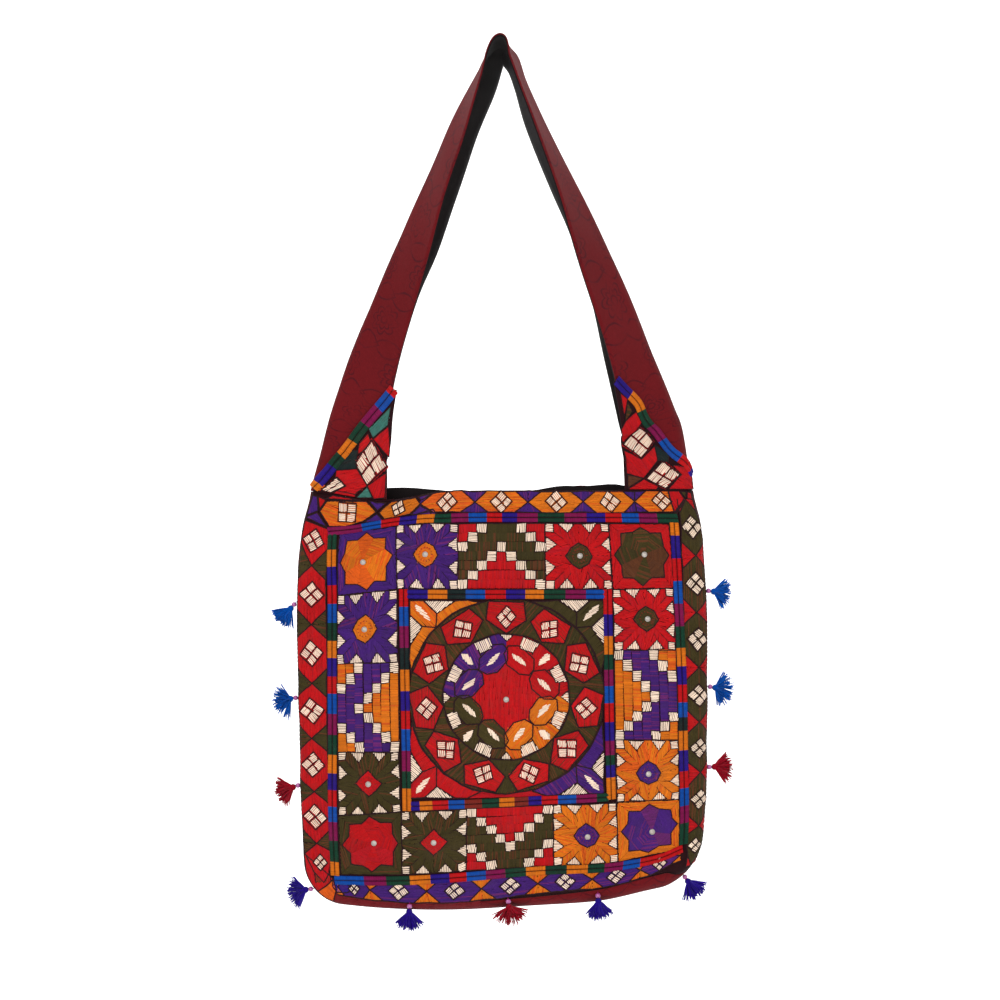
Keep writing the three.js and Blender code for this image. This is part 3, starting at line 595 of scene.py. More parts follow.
class Stitching:
    # across and up, in widths and heights
    section = np.array([(-0.5, 0.0), (-0.27, 0.86), (0.27, 0.86), (0.5, 0.0)])

    def __init__(self):
        self.places, self.lifts, self.uvs = [], [], []
        self.shades, self.colours, self.quads, self.count = [], [], [], 0

    def thread(self, points, lifts, width, height, dye, shade):
        points = np.asarray(points, float)
        n = len(points)
        way = np.gradient(points, axis=0)
        size = np.maximum(np.hypot(way[:, 0], way[:, 1]), 1e-9)
        side = np.stack([-way[:, 1], way[:, 0]], -1) / size[:, None]
        self.places.append(points[:, None] + side[:, None] * (self.section[None, :, :1] * width))
        self.lifts.append(np.asarray(lifts, float)[:, None] + self.section[None, :, 1] * height)
        along = np.concatenate([[0],
                                np.cumsum(np.hypot(*np.diff(points, axis=0).T))]) / 1000 + rng.random() * 3
        across = np.linspace(0, 1, 4) + rng.integers(0, 40) * 3
        self.uvs.append(np.stack(np.broadcast_arrays(along[:, None], across[None, :]), -1))
        self.shades.append(np.full((n, 4), shade))
        self.colours.append(np.broadcast_to(np.array(dyes[dye]), (n, 4, 4)))
        start = self.count + 4 * np.arange(n - 1)[:, None] + np.arange(3)[None, :]
        self.quads.append(np.stack([start, start + 1, start + 5, start + 4], -1).reshape(-1, 4))
        self.count += 4 * n

    def mesh(self, name, surface):
        places = np.concatenate([p.reshape(-1, 2) for p in self.places])
        lifts = np.concatenate([v.ravel() for v in self.lifts])
        verts = surface(places[:, 0], places[:, 1], lifts) / 1000
        quads = np.concatenate(self.quads)
        raised = surface(places[:, 0], places[:, 1], lifts + 1) / 1000 - verts
        corner = verts[quads]
        normal = np.cross(corner[:, 2] - corner[:, 0], corner[:, 3] - corner[:, 1])
        inward = (normal * raised[quads[:, 0]]).sum(1) < 0
        quads[inward] = quads[inward][:, ::-1]
        return bareMesh(name, verts, quads, np.concatenate([u.reshape(-1, 2) for u in self.uvs]),
                        np.concatenate([s.ravel() for s in self.shades]),
                        np.concatenate([c.reshape(-1, 4) for c in self.colours]))


# thousands of small shapes, past what operators can build
def bareMesh(name, verts, quads, uvs, shades, colours):
    mesh = bpy.data.meshes.new(name)
    mesh.vertices.add(len(verts))
    mesh.vertices.foreach_set("co", np.asarray(verts, np.float32).ravel())
    mesh.loops.add(quads.size)
    mesh.loops.foreach_set("vertex_index", quads.ravel().astype(np.int32))
    mesh.polygons.add(len(quads))
    mesh.polygons.foreach_set("loop_start", np.arange(0, quads.size, 4, dtype=np.int32))
    mesh.polygons.foreach_set("use_smooth", np.ones(len(quads), bool))
    mesh.uv_layers.new(name="UVMap").data.foreach_set("uv", uvs[quads.ravel()].astype(np.float32).ravel())
    mesh.attributes.new("shade", "FLOAT", "POINT").data.foreach_set("value", shades.astype(np.float32))
    mesh.attributes.new("dye", "FLOAT_COLOR", "POINT").data.foreach_set("color",
                                                                        colours.astype(np.float32).ravel())
    mesh.update(calc_edges=True)
    mesh.validate()
    return mesh


unsteady = 0.55  # millimetres that a drawn corner strays
whiteForm = dict(pitch=1.55, width=1.2, lift=0.4, height=0.75, longest=14.0, inset=0.25)
quarterGap = 0.84  # of a quarter's own size, the rest is the gap between quarters
cellForm = dict(rim=0.98, tip=0.96, axisTip=0.9, notch=0.75, box=0.76, foot=0.24, footSpot=0.36,
                footTall=0.29, footLean=0.96)
stairs = dict(columns=9, rows=7)


class Embroidery:  # one surface's satin, whites and outlines
    def __init__(self):
        self.heaps = {}
        self.lines = set()

    def heap(self, name):
        return self.heaps.setdefault(name, Stitching())

    def drawn(self, points):  # the hand that drew the pattern was not quite steady
        x, y = np.asarray(points, float).T
        return np.stack([x + unsteady * np.sin(y / 5.3 + 2.1 * np.sin(x / 9.1)),
                         y + unsteady * np.sin(x / 4.7 + 1.9 * np.sin(y / 8.3))], -1)

    def satin(self, polygon, angle, dye, pitch=1.0, width=1.24, lift=-0.2, height=0.6, longest=11.0,
              inset=0.3, tone=1.0):
        shape = self.drawn(polygon)
        c, s = math.cos(angle), math.sin(angle)
        turned = shape @ np.array([[c, -s], [s, c]])
        ends = np.roll(turned, -1, axis=0)
        heap = self.heap(dye)
        other, often = streaks.get(dye, (dye, 0))
        often *= rng.uniform(0, 2)
        low, high = turned[:, 1].min() + inset, turned[:, 1].max() - inset
        rows = max(1, int(round((high - low) / pitch)))
        for row in range(rows):
            y = low + (row + 0.5) * (high - low) / rows + rng.normal(0, 0.03)
            thread = other if rng.random() < often else dye
            cut = (turned[:, 1] <= y) != (ends[:, 1] <= y)
            if not cut.any():
                continue
            a, b = turned[cut], ends[cut]
            xs = np.sort(a[:, 0] + (y - a[:, 1]) / (b[:, 1] - a[:, 1]) * (b[:, 0] - a[:, 0]))
            for left, right in zip(xs[0::2], xs[1::2]):
                left, right = left + inset + rng.uniform(-0.15, 0.25), right - inset - rng.uniform(-0.15,
                                                                                                   0.25)
                if right - left < 0.8:
                    continue
                parts = max(1, math.ceil((right - left) / longest))
                cuts = np.linspace(left, right, parts + 1)
                if parts > 1:
                    cuts[1:-1] += ((row % 2) - 0.5) * (right - left) / parts * 0.5 + rng.normal(0, 0.3,
                                                                                                parts - 1)
                for start, end in zip(cuts[:-1], cuts[1:]):
                    span = end - start
                    ramp = min(0.45, span / 3)
                    inner = np.linspace(start + ramp, end - ramp, max(2, math.ceil(span / 5.0) + 1))
                    x = np.concatenate([[start], inner, [end]])
                    lifts = np.concatenate([[lift - 0.25], np.full(len(inner), lift), [lift - 0.25]])
                    drift = rng.normal(0, 0.025)
                    ys = y + drift * (x - start)
                    points = np.stack([x, ys], -1) @ np.array([[c, s], [-s, c]])
                    heap.thread(points, lifts, width, height, thread, rng.normal(tone, 0.09))

    def line(self, points, closed=False, dye="maroon", width=1.4, height=0.75, lift=0.05, stitch=4.2,
             heap="outlines"):
        points = [tuple(p) for p in self.drawn(points)]
        pairs = list(zip(points, points[1:] + points[:1])) if closed else list(zip(points[:-1], points[1:]))
        for a, b in pairs:
            key = tuple(sorted((tuple(round(c / 1.6) for c in a), tuple(round(c / 1.6) for c in b))))
            if key in self.lines:
                continue
            self.lines.add(key)
            a, b = np.array(a), np.array(b)
            long = float(np.hypot(*(b - a)))
            if long < 0.6:
                continue
            count = max(1, round(long / stitch))
            knots = a + (b - a) * np.linspace(0, 1, count + 1)[:, None] + rng.normal(0, 0.12,
                                                                                     (count + 1, 2))
            for p, q in zip(knots[:-1], knots[1:]):
                over = (q - p) * 0.06
                steps = np.linspace(p - over, q + over, 4)
                self.heap(heap).thread(steps, lift + np.array([-0.3, 0, 0, -0.3]), width, height, dye,
                                       rng.normal(1, 0.1))

    def patch(self, polygon, angle, dye, edge=None, **more):  # satin with its outline
        self.satin(polygon, angle, dye, **more)
        self.line(polygon, True, **(edge or {}))

    def white(self, polygon, angle, edge=True, **more):
        self.satin(polygon, angle, "white", **{**whiteForm, **more})
        if edge:
            self.line(polygon, True, lift=whiteForm["lift"] - 0.05, width=1.1)

    def quartered(self, x, y, across, down, turn=0.0):
        c, s = math.cos(turn), math.sin(turn)
        place = lambda a, b: (x + a * c - b * s, y + a * s + b * c)
        gap = quarterGap
        for i, (a, b) in enumerate(((0, -0.5), (0.5, 0), (0, 0.5), (-0.5, 0))):
            corners = [(a, b - 0.5 * gap), (a + 0.5 * gap, b), (a, b + 0.5 * gap), (a - 0.5 * gap, b)]
            shape = [place(across * p, down * q) for p, q in corners]
            self.white(shape, turn + math.radians(rng.choice([38, 52, -45])) + rng.normal(0, 0.08),
                       edge=False)
        tips = [place(across * p, down * q) for p, q in ((0, -1), (1, 0), (0, 1), (-1, 0))]
        self.line(tips, True, lift=0.5, width=1.1)
        middles = [tuple((np.array(tips[i]) + np.array(tips[(i + 1) % 4])) / 2) for i in range(4)]
        self.line([middles[0], middles[2]], lift=0.6, width=0.85)
        self.line([middles[1], middles[3]], lift=0.6, width=0.85)


def around(step, reach, steps=8):  # a corner of a ring that has this many steps
    return math.cos(step * tau / steps) * reach, math.sin(step * tau / steps) * reach


def bilinear(cell, s, t):
    (ax, ay), (bx, by), (cx, cy), (dx, dy) = cell  # top left, top right, bottom right, bottom left
    u, v = (s + 1) / 2, (t + 1) / 2
    x = mix(mix(ax, bx, u), mix(dx, cx, u), v)
    return x, mix(mix(ay, by, u), mix(dy, cy, u), v)


class Cell:  # a patch of the ring, drawn from -1 to 1 each way about its middle
    def __init__(self, work, corners, middle):
        self.work, self.corners = work, corners
        centre = np.array(bilinear(corners, 0, 0))
        self.shift = np.array(middle) - centre if middle else np.zeros(2)

    def at(self, s, t):
        x, y = bilinear(self.corners, s, t)
        near = max(0.0, 1 - max(abs(s), abs(t)))
        return float(x + self.shift[0] * near), float(y + self.shift[1] * near)

    def angle(self, s, t, way):
        (ax, ay), (bx, by) = self.at(s, t), self.at(s + 0.02 * way[0], t + 0.02 * way[1])
        return math.atan2(by - ay, bx - ax)

    def fill(self, shape, way, dye, **more):
        middle = np.mean(shape, axis=0)
        self.work.satin([self.at(*p) for p in shape], self.angle(*middle, way), dye, **more)

    def line(self, shape, closed=True, **more):
        self.work.line([self.at(*p) for p in shape], closed, **more)

    def white(self, shape, way):
        middle = np.mean(shape, axis=0)
        self.work.white([self.at(*p) for p in shape], self.angle(*middle, way) + rng.normal(0, 0.1))

    def star(self, ground, petal):
        reach = [r + rng.normal(0, 0.02) for r in (cellForm["axisTip"], cellForm["tip"]) * 4]
        tips = [around(k, r) for k, r in enumerate(reach)]
        notches = [around(k + 0.5, cellForm["notch"]) for k in range(8)]
        for k in range(8):
            shape = [(0, 0), notches[k - 1], tips[k], notches[k]]
            lean = k * tau / 8 + math.pi / 2 + rng.uniform(-0.35, 0.35)
            dye = petal if rng.random() < 0.7 else streaks[petal][0]
            self.fill(shape, (math.cos(lean), math.sin(lean)), dye, longest=8.0, inset=-0.15,
                      tone=rng.normal(1, 0.08))
            axis = tips[k] if k % 2 == 0 else tips[(k + 1) % 8]
            diagonal = tips[(k + 1) % 8] if k % 2 == 0 else tips[k]
            side = tuple(math.copysign(cellForm["rim"], c) if abs(c) > 0.5 else 0 for c in axis)
            corner = tuple(math.copysign(cellForm["rim"], c) for c in diagonal)
            way = (side[1], side[0])
            lean = (way[0] + rng.uniform(-0.25, 0.25), way[1] + rng.uniform(-0.25, 0.25))
            self.fill([axis, side, corner, diagonal, notches[k]], lean, ground, inset=0.1)
        self.line([p for pair in zip(tips, notches) for p in pair])

    def cross(self, ground, heart, square=False):
        rim, box, tall = cellForm["rim"], cellForm["box"], cellForm["footTall"]
        corners = [(-rim, -rim), (rim, -rim), (rim, rim), (-rim, rim)]
        ways = [(0, 1), (1, 0), (0, 1), (1, 0)]
        for k in range(4):
            a, b = corners[k], corners[(k + 1) % 4]
            middle = ((a[0] + b[0]) / 2, (a[1] + b[1]) / 2)
            for near, lean in ((a, 0.22), (b, -0.22)):
                away = np.array(ways[k], float) + lean * np.array(ways[k])[::-1] * (1 if k in (0, 3)
                                                                                    else -1)
                self.fill([(0, 0), near, middle], away, ground, longest=12.0, inset=0.0,
                          tone=rng.normal(1, 0.06))
            inward = (-np.sign(middle[0]), -np.sign(middle[1]))
            along = (inward[1], inward[0])
            for spot in (-cellForm["footSpot"], cellForm["footSpot"]):
                foot = [tuple(m + a * (spot + w) for m, a in zip(middle, along))
                        for w in (-cellForm["foot"], cellForm["foot"])]
                tip = tuple(m + a * spot * cellForm["footLean"] + i * tall for m, a,
                            i in zip(middle, along, inward))
                self.white([*foot, tip], inward)
                self.line([tip, (tip[0] * 0.7, tip[1] * 0.7)], False, width=0.6, lift=-0.1)
            x, y = corners[k]
            self.white([(x, y), (x * box, y), (x * box, y * box), (x, y * box)], (1, 0))
            self.line([(x * box, y * box), (x * 0.5, y * 0.5)], False, width=0.6, lift=-0.1)
        reach = [0.42, 0.3] * 4 if square else [0.4, 0.35] * 4
        rim = [around(k, r) for k, r in enumerate(reach)]
        for k in range(8):
            lean = (k + 0.5) * tau / 8 + math.pi / 2
            self.fill([(0, 0), rim[k], rim[(k + 1) % 8]], (math.cos(lean), math.sin(lean)), heart,
                      lift=0.2, inset=-0.1)
        self.line(rim, lift=0.25)
        for k in range(14):
            self.line([around(k, r, 14) for r in (0.19, 0.24)], False, dye="rust", width=0.8, lift=0.55,
                      height=0.4)

    def stepped(self, ground, step, apex):
        turn = dict(top=lambda p, q: (p, 2 * q - 1), bottom=lambda p, q: (p, 1 - 2 * q),
                    left=lambda p, q: (2 * q - 1, p), right=lambda p, q: (1 - 2 * q, p))[apex]
        columns, rows = stairs["columns"], stairs["rows"]
        along, outward = ((1, 0), (0, 1)) if apex in ("top", "bottom") else ((0, 1), (1, 0))
        for j in range(rows):
            kinds = []
            for i in range(columns):
                stair, nook = j - 2 - abs(i - 4), min(i, 8 - i) + j - 2
                kinds.append("white" if stair == 0 or nook == 0 else step if stair > 0 or nook < 0
                             else ground)
            near, far = j / rows, (j + 1) / rows
            start = 0
            for i in range(1, columns + 1):
                if i < columns and kinds[i] == kinds[start] != "white":
                    continue
                left, right = start * 2 / columns - 1, i * 2 / columns - 1
                shape = [turn(left, near), turn(right, near), turn(right, far), turn(left, far)]
                if kinds[start] == "white":
                    self.white(shape, outward if rng.random() < 0.7 else along)
                else:
                    self.fill(shape, outward, kinds[start], inset=0.08, tone=rng.normal(1, 0.04))
                start = i


# hexagons from joint to joint
def chain(work, joints, halves, hexagon, triangle, sizes, taper=0.24, way=None):
    joints = np.array(joints, float)
    for i, (a, b) in enumerate(zip(joints[:-1], joints[1:])):
        run = b - a
        side = np.array([-run[1], run[0]]) / np.hypot(*run)
        ha, hb = halves[i], halves[i + 1]
        near = {sign: a + run * taper + side * sign * ha for sign in (-1, 1)}
        far = {sign: b - run * taper + side * sign * hb for sign in (-1, 1)}
        lean = math.atan2(run[1], run[0]) if way is None else way
        work.patch([a, near[-1], far[-1], b, far[1], near[1]], lean, hexagon, longest=9.0)
        for sign in (-1, 1):
            for joint, shoulder, half in ((a, near[sign], ha), (b, far[sign], hb)):
                level = joint + side * sign * half
                work.satin([joint, shoulder, level], math.atan2(side[1], side[0]) + rng.uniform(-0.4, 0.4),
                           triangle)
        for sign in (-1, 1):
            work.line([a + side * sign * ha, near[sign], far[sign], b + side * sign * hb])
        if sizes[i]:
            middle = (a + b) / 2
            work.quartered(middle[0], middle[1], sizes[i][0], sizes[i][1], rng.normal(0, 0.06))


# the front's embroidery
front = Embroidery()
sequinSpots = [(-0.68, 0.166), (-0.375, 0.15), (0.38, 0.155), (0.7, 0.152), (-0.67, 0.33), (0.708, 0.305),
               (0.02, 0.494),
               (-0.66, 0.7), (0.713, 0.69), (-0.637, 0.843), (-0.335, 0.836), (0.418, 0.836), (0.74, 0.848)]
ringNodes = dict(
    a0=(-154.5, 31), a1=(-100, 25), a2=(-40.8, 30.5), a3=(39.7, 30.2), a4=(100.3, 30.3), a5=(158.5, 30.5),
    b0=(-152.5, 97), b1=(-97, 91.2), b2=(-40.6, 91.1), b3=(39.6, 91.1), b4=(102, 91.2), b5=(159, 90.4),
    c0=(-153, 161), c1=(-96, 159.5), c4=(103, 147.4), c5=(160, 147.7),
    d0=(-153.5, 243.7), d1=(-95.5, 241.8), d4=(104.5, 232), d5=(163, 235.4),
    e0=(-155, 305), e1=(-94.5, 297.7), e2=(-32.3, 294.1), e3=(47, 292.8), e4=(106, 293.8), e5=(165, 300),
    f0=(-155, 361.5), f1=(-94.1, 357), f2=(-32.5, 352.5), f3=(47.2, 351.5), f4=(109, 354), f5=(168, 354))
ringCells = [  # top left, top right, bottom right, bottom left, then the patch
    ("a0 a1 b1 b0", "star", "purple", "orange"), ("a1 a2 b2 b1", "cross", "purple", "orange"),
    ("a2 a3 b3 b2", "stepped", "olive", "red", "top"), ("a3 a4 b4 b3", "cross", "red", "olive"),
    ("a4 a5 b5 b4", "star", "red", "olive"), ("b0 b1 c1 c0", "cross", "purple", "orange"),
    ("c0 c1 d1 d0", "stepped", "purple", "orange", "left"), ("d0 d1 e1 e0", "cross", "olive", "red", True),
    ("e0 e1 f1 f0", "star", "olive", "red"), ("e1 e2 f2 f1", "cross", "olive", "red", True),
    ("e2 e3 f3 f2", "stepped", "olive", "red", "bottom"), ("e3 e4 f4 f3", "cross", "orange", "purple"),
    ("e4 e5 f5 f4", "star", "orange", "purple"), ("b4 b5 c5 c4", "cross", "red", "olive"),
    ("c4 c5 d5 d4", "stepped", "purple", "orange", "right"), ("d4 d5 e5 e4", "cross", "orange", "purple")]
sequinPlaces = [(x * pouch["halfWidth"], y * pouch["height"]) for x, y in sequinSpots]
for names, patch, *colours in ringCells:
    corners = [ringNodes[name] for name in names.split()]
    low, high = np.min(corners, axis=0), np.max(corners, axis=0)
    inside = [place for place in sequinPlaces if (low < place).all() and (high > place).all()]
    cell = Cell(front, corners, inside[0] if inside else None)
    getattr(cell, patch)(*colours)
    front.line(corners, True, lift=0.0, width=1.1)

# the medallion inside the inner braid
medallion = dict(x=3.8, y=190.6, star=33.0, notch=26.4, petalRing=36.4, petalLong=15.8, petalWide=10.6,
                 ring=58.4, outer=90.2,
                 pentagonRing=74.0, box=(-85.8, 101.2, 94.5, 284.5), spokes=11, eyeLong=9.3, eyeWide=2.7,
                 eyePitch=1.15)
petalShape = [(-1, 0.35), (-0.6, 1), (0.5, 1), (1, 0.2), (0.85, -0.55), (0.3, -1), (-0.6, -0.9), (-1, -0.3)]
eyeShape = [(-1, 0.1), (-0.5, 0.8), (0.3, 1), (1, 0), (0.4, -0.9), (-0.4, -0.8)]
blockShape = [(47.3, -7.6), (57.6, -8.2), (57.6, 8.2), (47.3, 7.6)]  # radius and degrees, as for the lens
lensShape = [(42.5, 0), (46, 3.2), (53.5, 3.6), (57, 0.5), (53, -3.4), (46, -2.8)]
pentagonShape = [(59.2, 0), (70.5, 19.4), (87.6, 15.0), (87.6, -15.0), (70.5, -19.4)]  # radius and across


def polar(radius, degrees):  # degrees from +X, anticlockwise as seen from the front
    a = math.radians(degrees)
    return medallion["x"] + radius * math.cos(a), medallion["y"] - radius * math.sin(a)


def inBox(shape):
    low, top, high, bottom = medallion["box"]
    return [(min(max(x, low), high), min(max(y, top), bottom)) for x, y in shape]


ringDyes = ["red", "purple", "olive", "orange"]  # quadrants from the top right, anticlockwise
arc = [polar(medallion["outer"] - 1.5, 236 + 8 * i) for i in range(9)]
front.satin(arc + [(arc[-1][0], medallion["box"][3]), (arc[0][0], medallion["box"][3])], 0.0, "crimson",
            lift=-0.45)
starRim = [polar(medallion["star"] if k % 2 == 0 else medallion["notch"], k * 22.5) for k in range(16)]
front.satin(starRim, math.pi / 2 + 0.03, "red", longest=13, lift=-0.08, inset=0.0)
for k in range(16):
    a, b = k * 22.5, (k + 1) * 22.5
    inner = [polar(medallion["notch"] + 1, b), polar(medallion["notch"] + 1, a)]
    sector = [polar(medallion["ring"], a + (b - a) * i / 3) for i in range(4)] + inner
    front.satin(sector, -math.radians((a + b) / 2) + rng.uniform(-0.3, 0.3), ringDyes[k // 4], longest=10)
for k in range(8):
    diagonal, way = 45 + 90 * (k // 2), (1 if k % 2 else -1)
    lean = -math.radians((k // 2) * 90 + 135)  # petals lie across their quadrant's diagonal
    cx, cy = polar(medallion["petalRing"], diagonal + 26 * way)
    c, s = math.cos(lean), math.sin(lean)
    place = lambda u, v: (cx + u * c - v * s, cy + u * s + v * c)
    long, wide = medallion["petalLong"], medallion["petalWide"]
    petal = [place(u * long, v * wide) for u, v in petalShape]
    front.patch(petal, lean + rng.uniform(-0.25, 0.25), ringDyes[k // 2], dict(lift=0.4, width=1.3),
                lift=0.05, longest=9,
                tone=rng.normal(1, 0.06))
    eye = [place(u * medallion["eyeLong"], v * medallion["eyeWide"]) for u, v in eyeShape]
    front.white(eye, lean + math.radians(24 + rng.uniform(-12, 12)), edge=False,
                pitch=medallion["eyePitch"])
    turn = diagonal + 21.5 * way
    front.white([polar(r, turn + w) for r, w in blockShape], -math.radians(turn))
for k in range(4):
    tip = [polar(51, 90 * k), polar(58, 90 * k - 6), polar(58, 90 * k + 6)]
    front.white(tip, -math.radians(90 * k))
    lens = [polar(r, 45 + 90 * k + w) for r, w in lensShape]
    front.white(lens, -math.radians(45 + 90 * k) + 0.4, edge=False, pitch=medallion["eyePitch"])
    for w in (-13, 13):
        front.line([polar(45.5, 45 + 90 * k + w), polar(58, 45 + 90 * k + w * 1.25)], lift=0.3)
circle = [polar(medallion["ring"], k * 7.5) for k in range(48)]
front.line(circle, True, lift=0.4, width=1.3)
spokes = medallion["spokes"]
pentagonTurns = [45, 11, -18, 40, 1, -20, 24, 0, 48, 15, -6]
for k in range(spokes):
    middle = 90 + (k + 0.5) * 360 / spokes
    half = 180 / spokes
    arc = [polar(medallion["outer"], middle + half * (i / 3 - 1)) for i in range(7)]
    under = [polar(medallion["ring"], middle + half * (1 - i / 3)) for i in range(7)]
    front.satin(inBox(arc + under), -math.radians(middle) + rng.uniform(-0.5, 0.5), "olive", longest=10,
                tone=rng.normal(1, 0.06))
for k in range(spokes):
    a = 90 + k * 360 / spokes
    cx, cy = polar(medallion["pentagonRing"], a)
    hub = np.array((medallion["x"], medallion["y"]))
    across, up = np.array(polar(1, a + 90)) - hub, np.array(polar(1, a)) - hub
    rim = inBox([tuple(hub + up * (r + rng.normal(0, 0.5)) + across * (w + rng.normal(0, 0.5))) for r,
                 w in pentagonShape])
    front.patch(rim, -math.radians(a) + math.pi / 2 + rng.uniform(-0.3, 0.3), "red", dict(lift=0.4),
                lift=0.05, longest=13,
                tone=rng.normal(1, 0.04))
    wide, tall = (9.7, 11.0) if k == 0 else (11.3 + rng.normal(0, 0.5), 11.3 + rng.normal(0, 0.5))
    front.quartered(cx, cy, wide, tall, math.radians(pentagonTurns[k] + 45) if k else 0.0)
outerRim = [polar(medallion["outer"], k * 6) for k in range(61)]
for a, b in zip(outerRim[:-1], outerRim[1:]):
    if inBox([a, b]) == [a, b]:
        front.line([a, b], lift=0.35, width=1.2)
for dye, sx, sy in (("orange", 1, 1), ("olive", -1, 1), ("red", 1, -1), ("purple", -1, -1)):
    low, top, high, bottom = medallion["box"]
    ox, oy = (low if sx > 0 else high), (top if sy > 0 else bottom)
    spot = lambda shape: [(ox + sx * u, oy + sy * v) for u, v in shape]
    diagonal = {(1, 1): 135, (-1, 1): 45, (1, -1): 225, (-1, -1): 315}[sx, sy]
    arcs = [[polar(medallion["outer"] + 0.6, diagonal + turn * w) for w in (30, 24, 18, 12, 6, 0)]
            for turn in (-sx * sy, sx * sy)]
    corner = spot([(0.5, 0.5), (13.5, 0.5), (25, 12)]) + arcs[0][-1:] + spot([(12, 25), (0.5, 13.5)])
    bands = [inBox(spot([(25, 12), (42.5, 0.6), (54, 0.6)]) + arcs[0]),
             inBox(spot([(12, 25), (0.6, 42.5), (0.6, 54)]) + arcs[1])]
    front.patch(corner, sx * sy * math.pi / 4 + rng.uniform(-0.2, 0.2), dye, dict(lift=0.4), lift=0.1,
                longest=12)
    front.satin(bands[0], sx * sy * 0.95, dye, lift=0.1)
    front.satin(bands[1], sx * sy * 0.62, dye, lift=0.1)
    for band in bands:
        front.line(band, True, lift=0.4)
    front.white(spot([(14, 0.6), (41, 0.6), (25.5, 11.8)]), sx * sy * -0.9)
    front.white(spot([(0.6, 14), (11.8, 25.5), (0.6, 41)]), sx * sy * -0.7)
    lens = spot([(5, 4), (10, 6), (17, 14), (20, 20), (14, 17), (6, 9)])
    front.white(lens, sx * sy * (math.pi / 4 - 0.3), edge=False, pitch=medallion["eyePitch"])
print("medallion drawn")

# borders: chains of hexagons
chain(front, [(-176.3, 67.6), (-176.2, 123.8), (-177, 178.7), (-177.8, 230.9), (-177.4, 282.4),
              (-176, 332.9), (-171.5, 370)],
      [13.5, 14, 14.3, 14.3, 14.3, 13.2, 7], "red", "olive", [(11.6, 12)] * 5 + [(7.5, 8)])
chain(front, [(180, 8), (181, 60), (180.5, 112.6), (181, 163.5), (182.5, 217), (184, 273.2), (185, 333.4),
              (182, 374)],
      [9, 12.5, 12.8, 12.8, 12.5, 12, 11.5, 6], "olive", "red", [(10.6, 11.6)] * 6 + [(7.5, 8)])
chain(front, [(-158, 373), (-125.9, 373), (-70.2, 372.1), (-18.6, 370.1), (33.3, 367.5), (84.3, 367.5),
              (131.1, 367.3), (170, 362)],
      [7.6, 9.3, 10.2, 10.3, 9.8, 8.8, 8.2, 5.6], "purple", "orange",
      [(6, 6.5)] + [(10, 8.6)] * 3 + [(9.2, 8)] * 2 + [(7.5, 6.5)])
chain(front, [(-77, 8.6), (-25.5, 10.6), (24, 10.7), (76.6, 10.7), (128.6, 10.7)],
      [8.2, 9.8, 9.8, 9.8, 9.8], "orange", "purple", [(10.4, 10.4)] * 4, way=0.0)
lastHex = [(128.6, 10.7), (141, 0.9), (164.5, 0.9), (165.5, 20.4), (141, 20.4)]
front.patch(lastHex, 0.0, "orange")
front.quartered(155.5, 9.6, 10.2, 9.4, 0.1)
firstHex = [(-188.6, 26.5), (-163.8, 31.5), (-162, 50), (-176.3, 67.6), (-189.6, 47)]
front.patch(firstHex, math.pi / 2, "red", longest=9.0)
front.quartered(-177.5, 44.5, 10.5, 11.5, 0.15)
for low, high in (((-189.6, 47), (-189.9, 67.6)), ((-162, 50), (-162.2, 67.6))):
    front.satin([(-176.3, 67.6), low, high], rng.uniform(-0.4, 0.4), "olive")
leftHex = [(-177.2, 16), (-173, 6.4), (-132.4, 1.4), (-121.5, 8.8), (-134.5, 20), (-149.7, 27),
           (-165, 28.4)]
front.patch(leftHex, 0.12, "orange", longest=12)
front.quartered(-150.5, 13.6, 12.2, 12.2, 0.62)
tiltedHex = [(-119, 9.5), (-112.4, 4), (-106.5, 1), (-81.5, 1), (-77, 8.2), (-87.4, 14.8), (-112.2, 16.3)]
front.patch(tiltedHex, -0.12, "orange", tone=0.85)
front.quartered(-99, 8.2, 7.8, 7.4, 0.35)


def cornerEdge(low, high, inset=1.2):  # along the front's lower left corner, in degrees down from its side
    radius = pouch["cornerRadius"] - inset
    return [(-coreSide - radius * math.cos(math.radians(a)),
             coreBottom + radius * math.sin(math.radians(a)))
            for a in np.linspace(low, high, 5)]


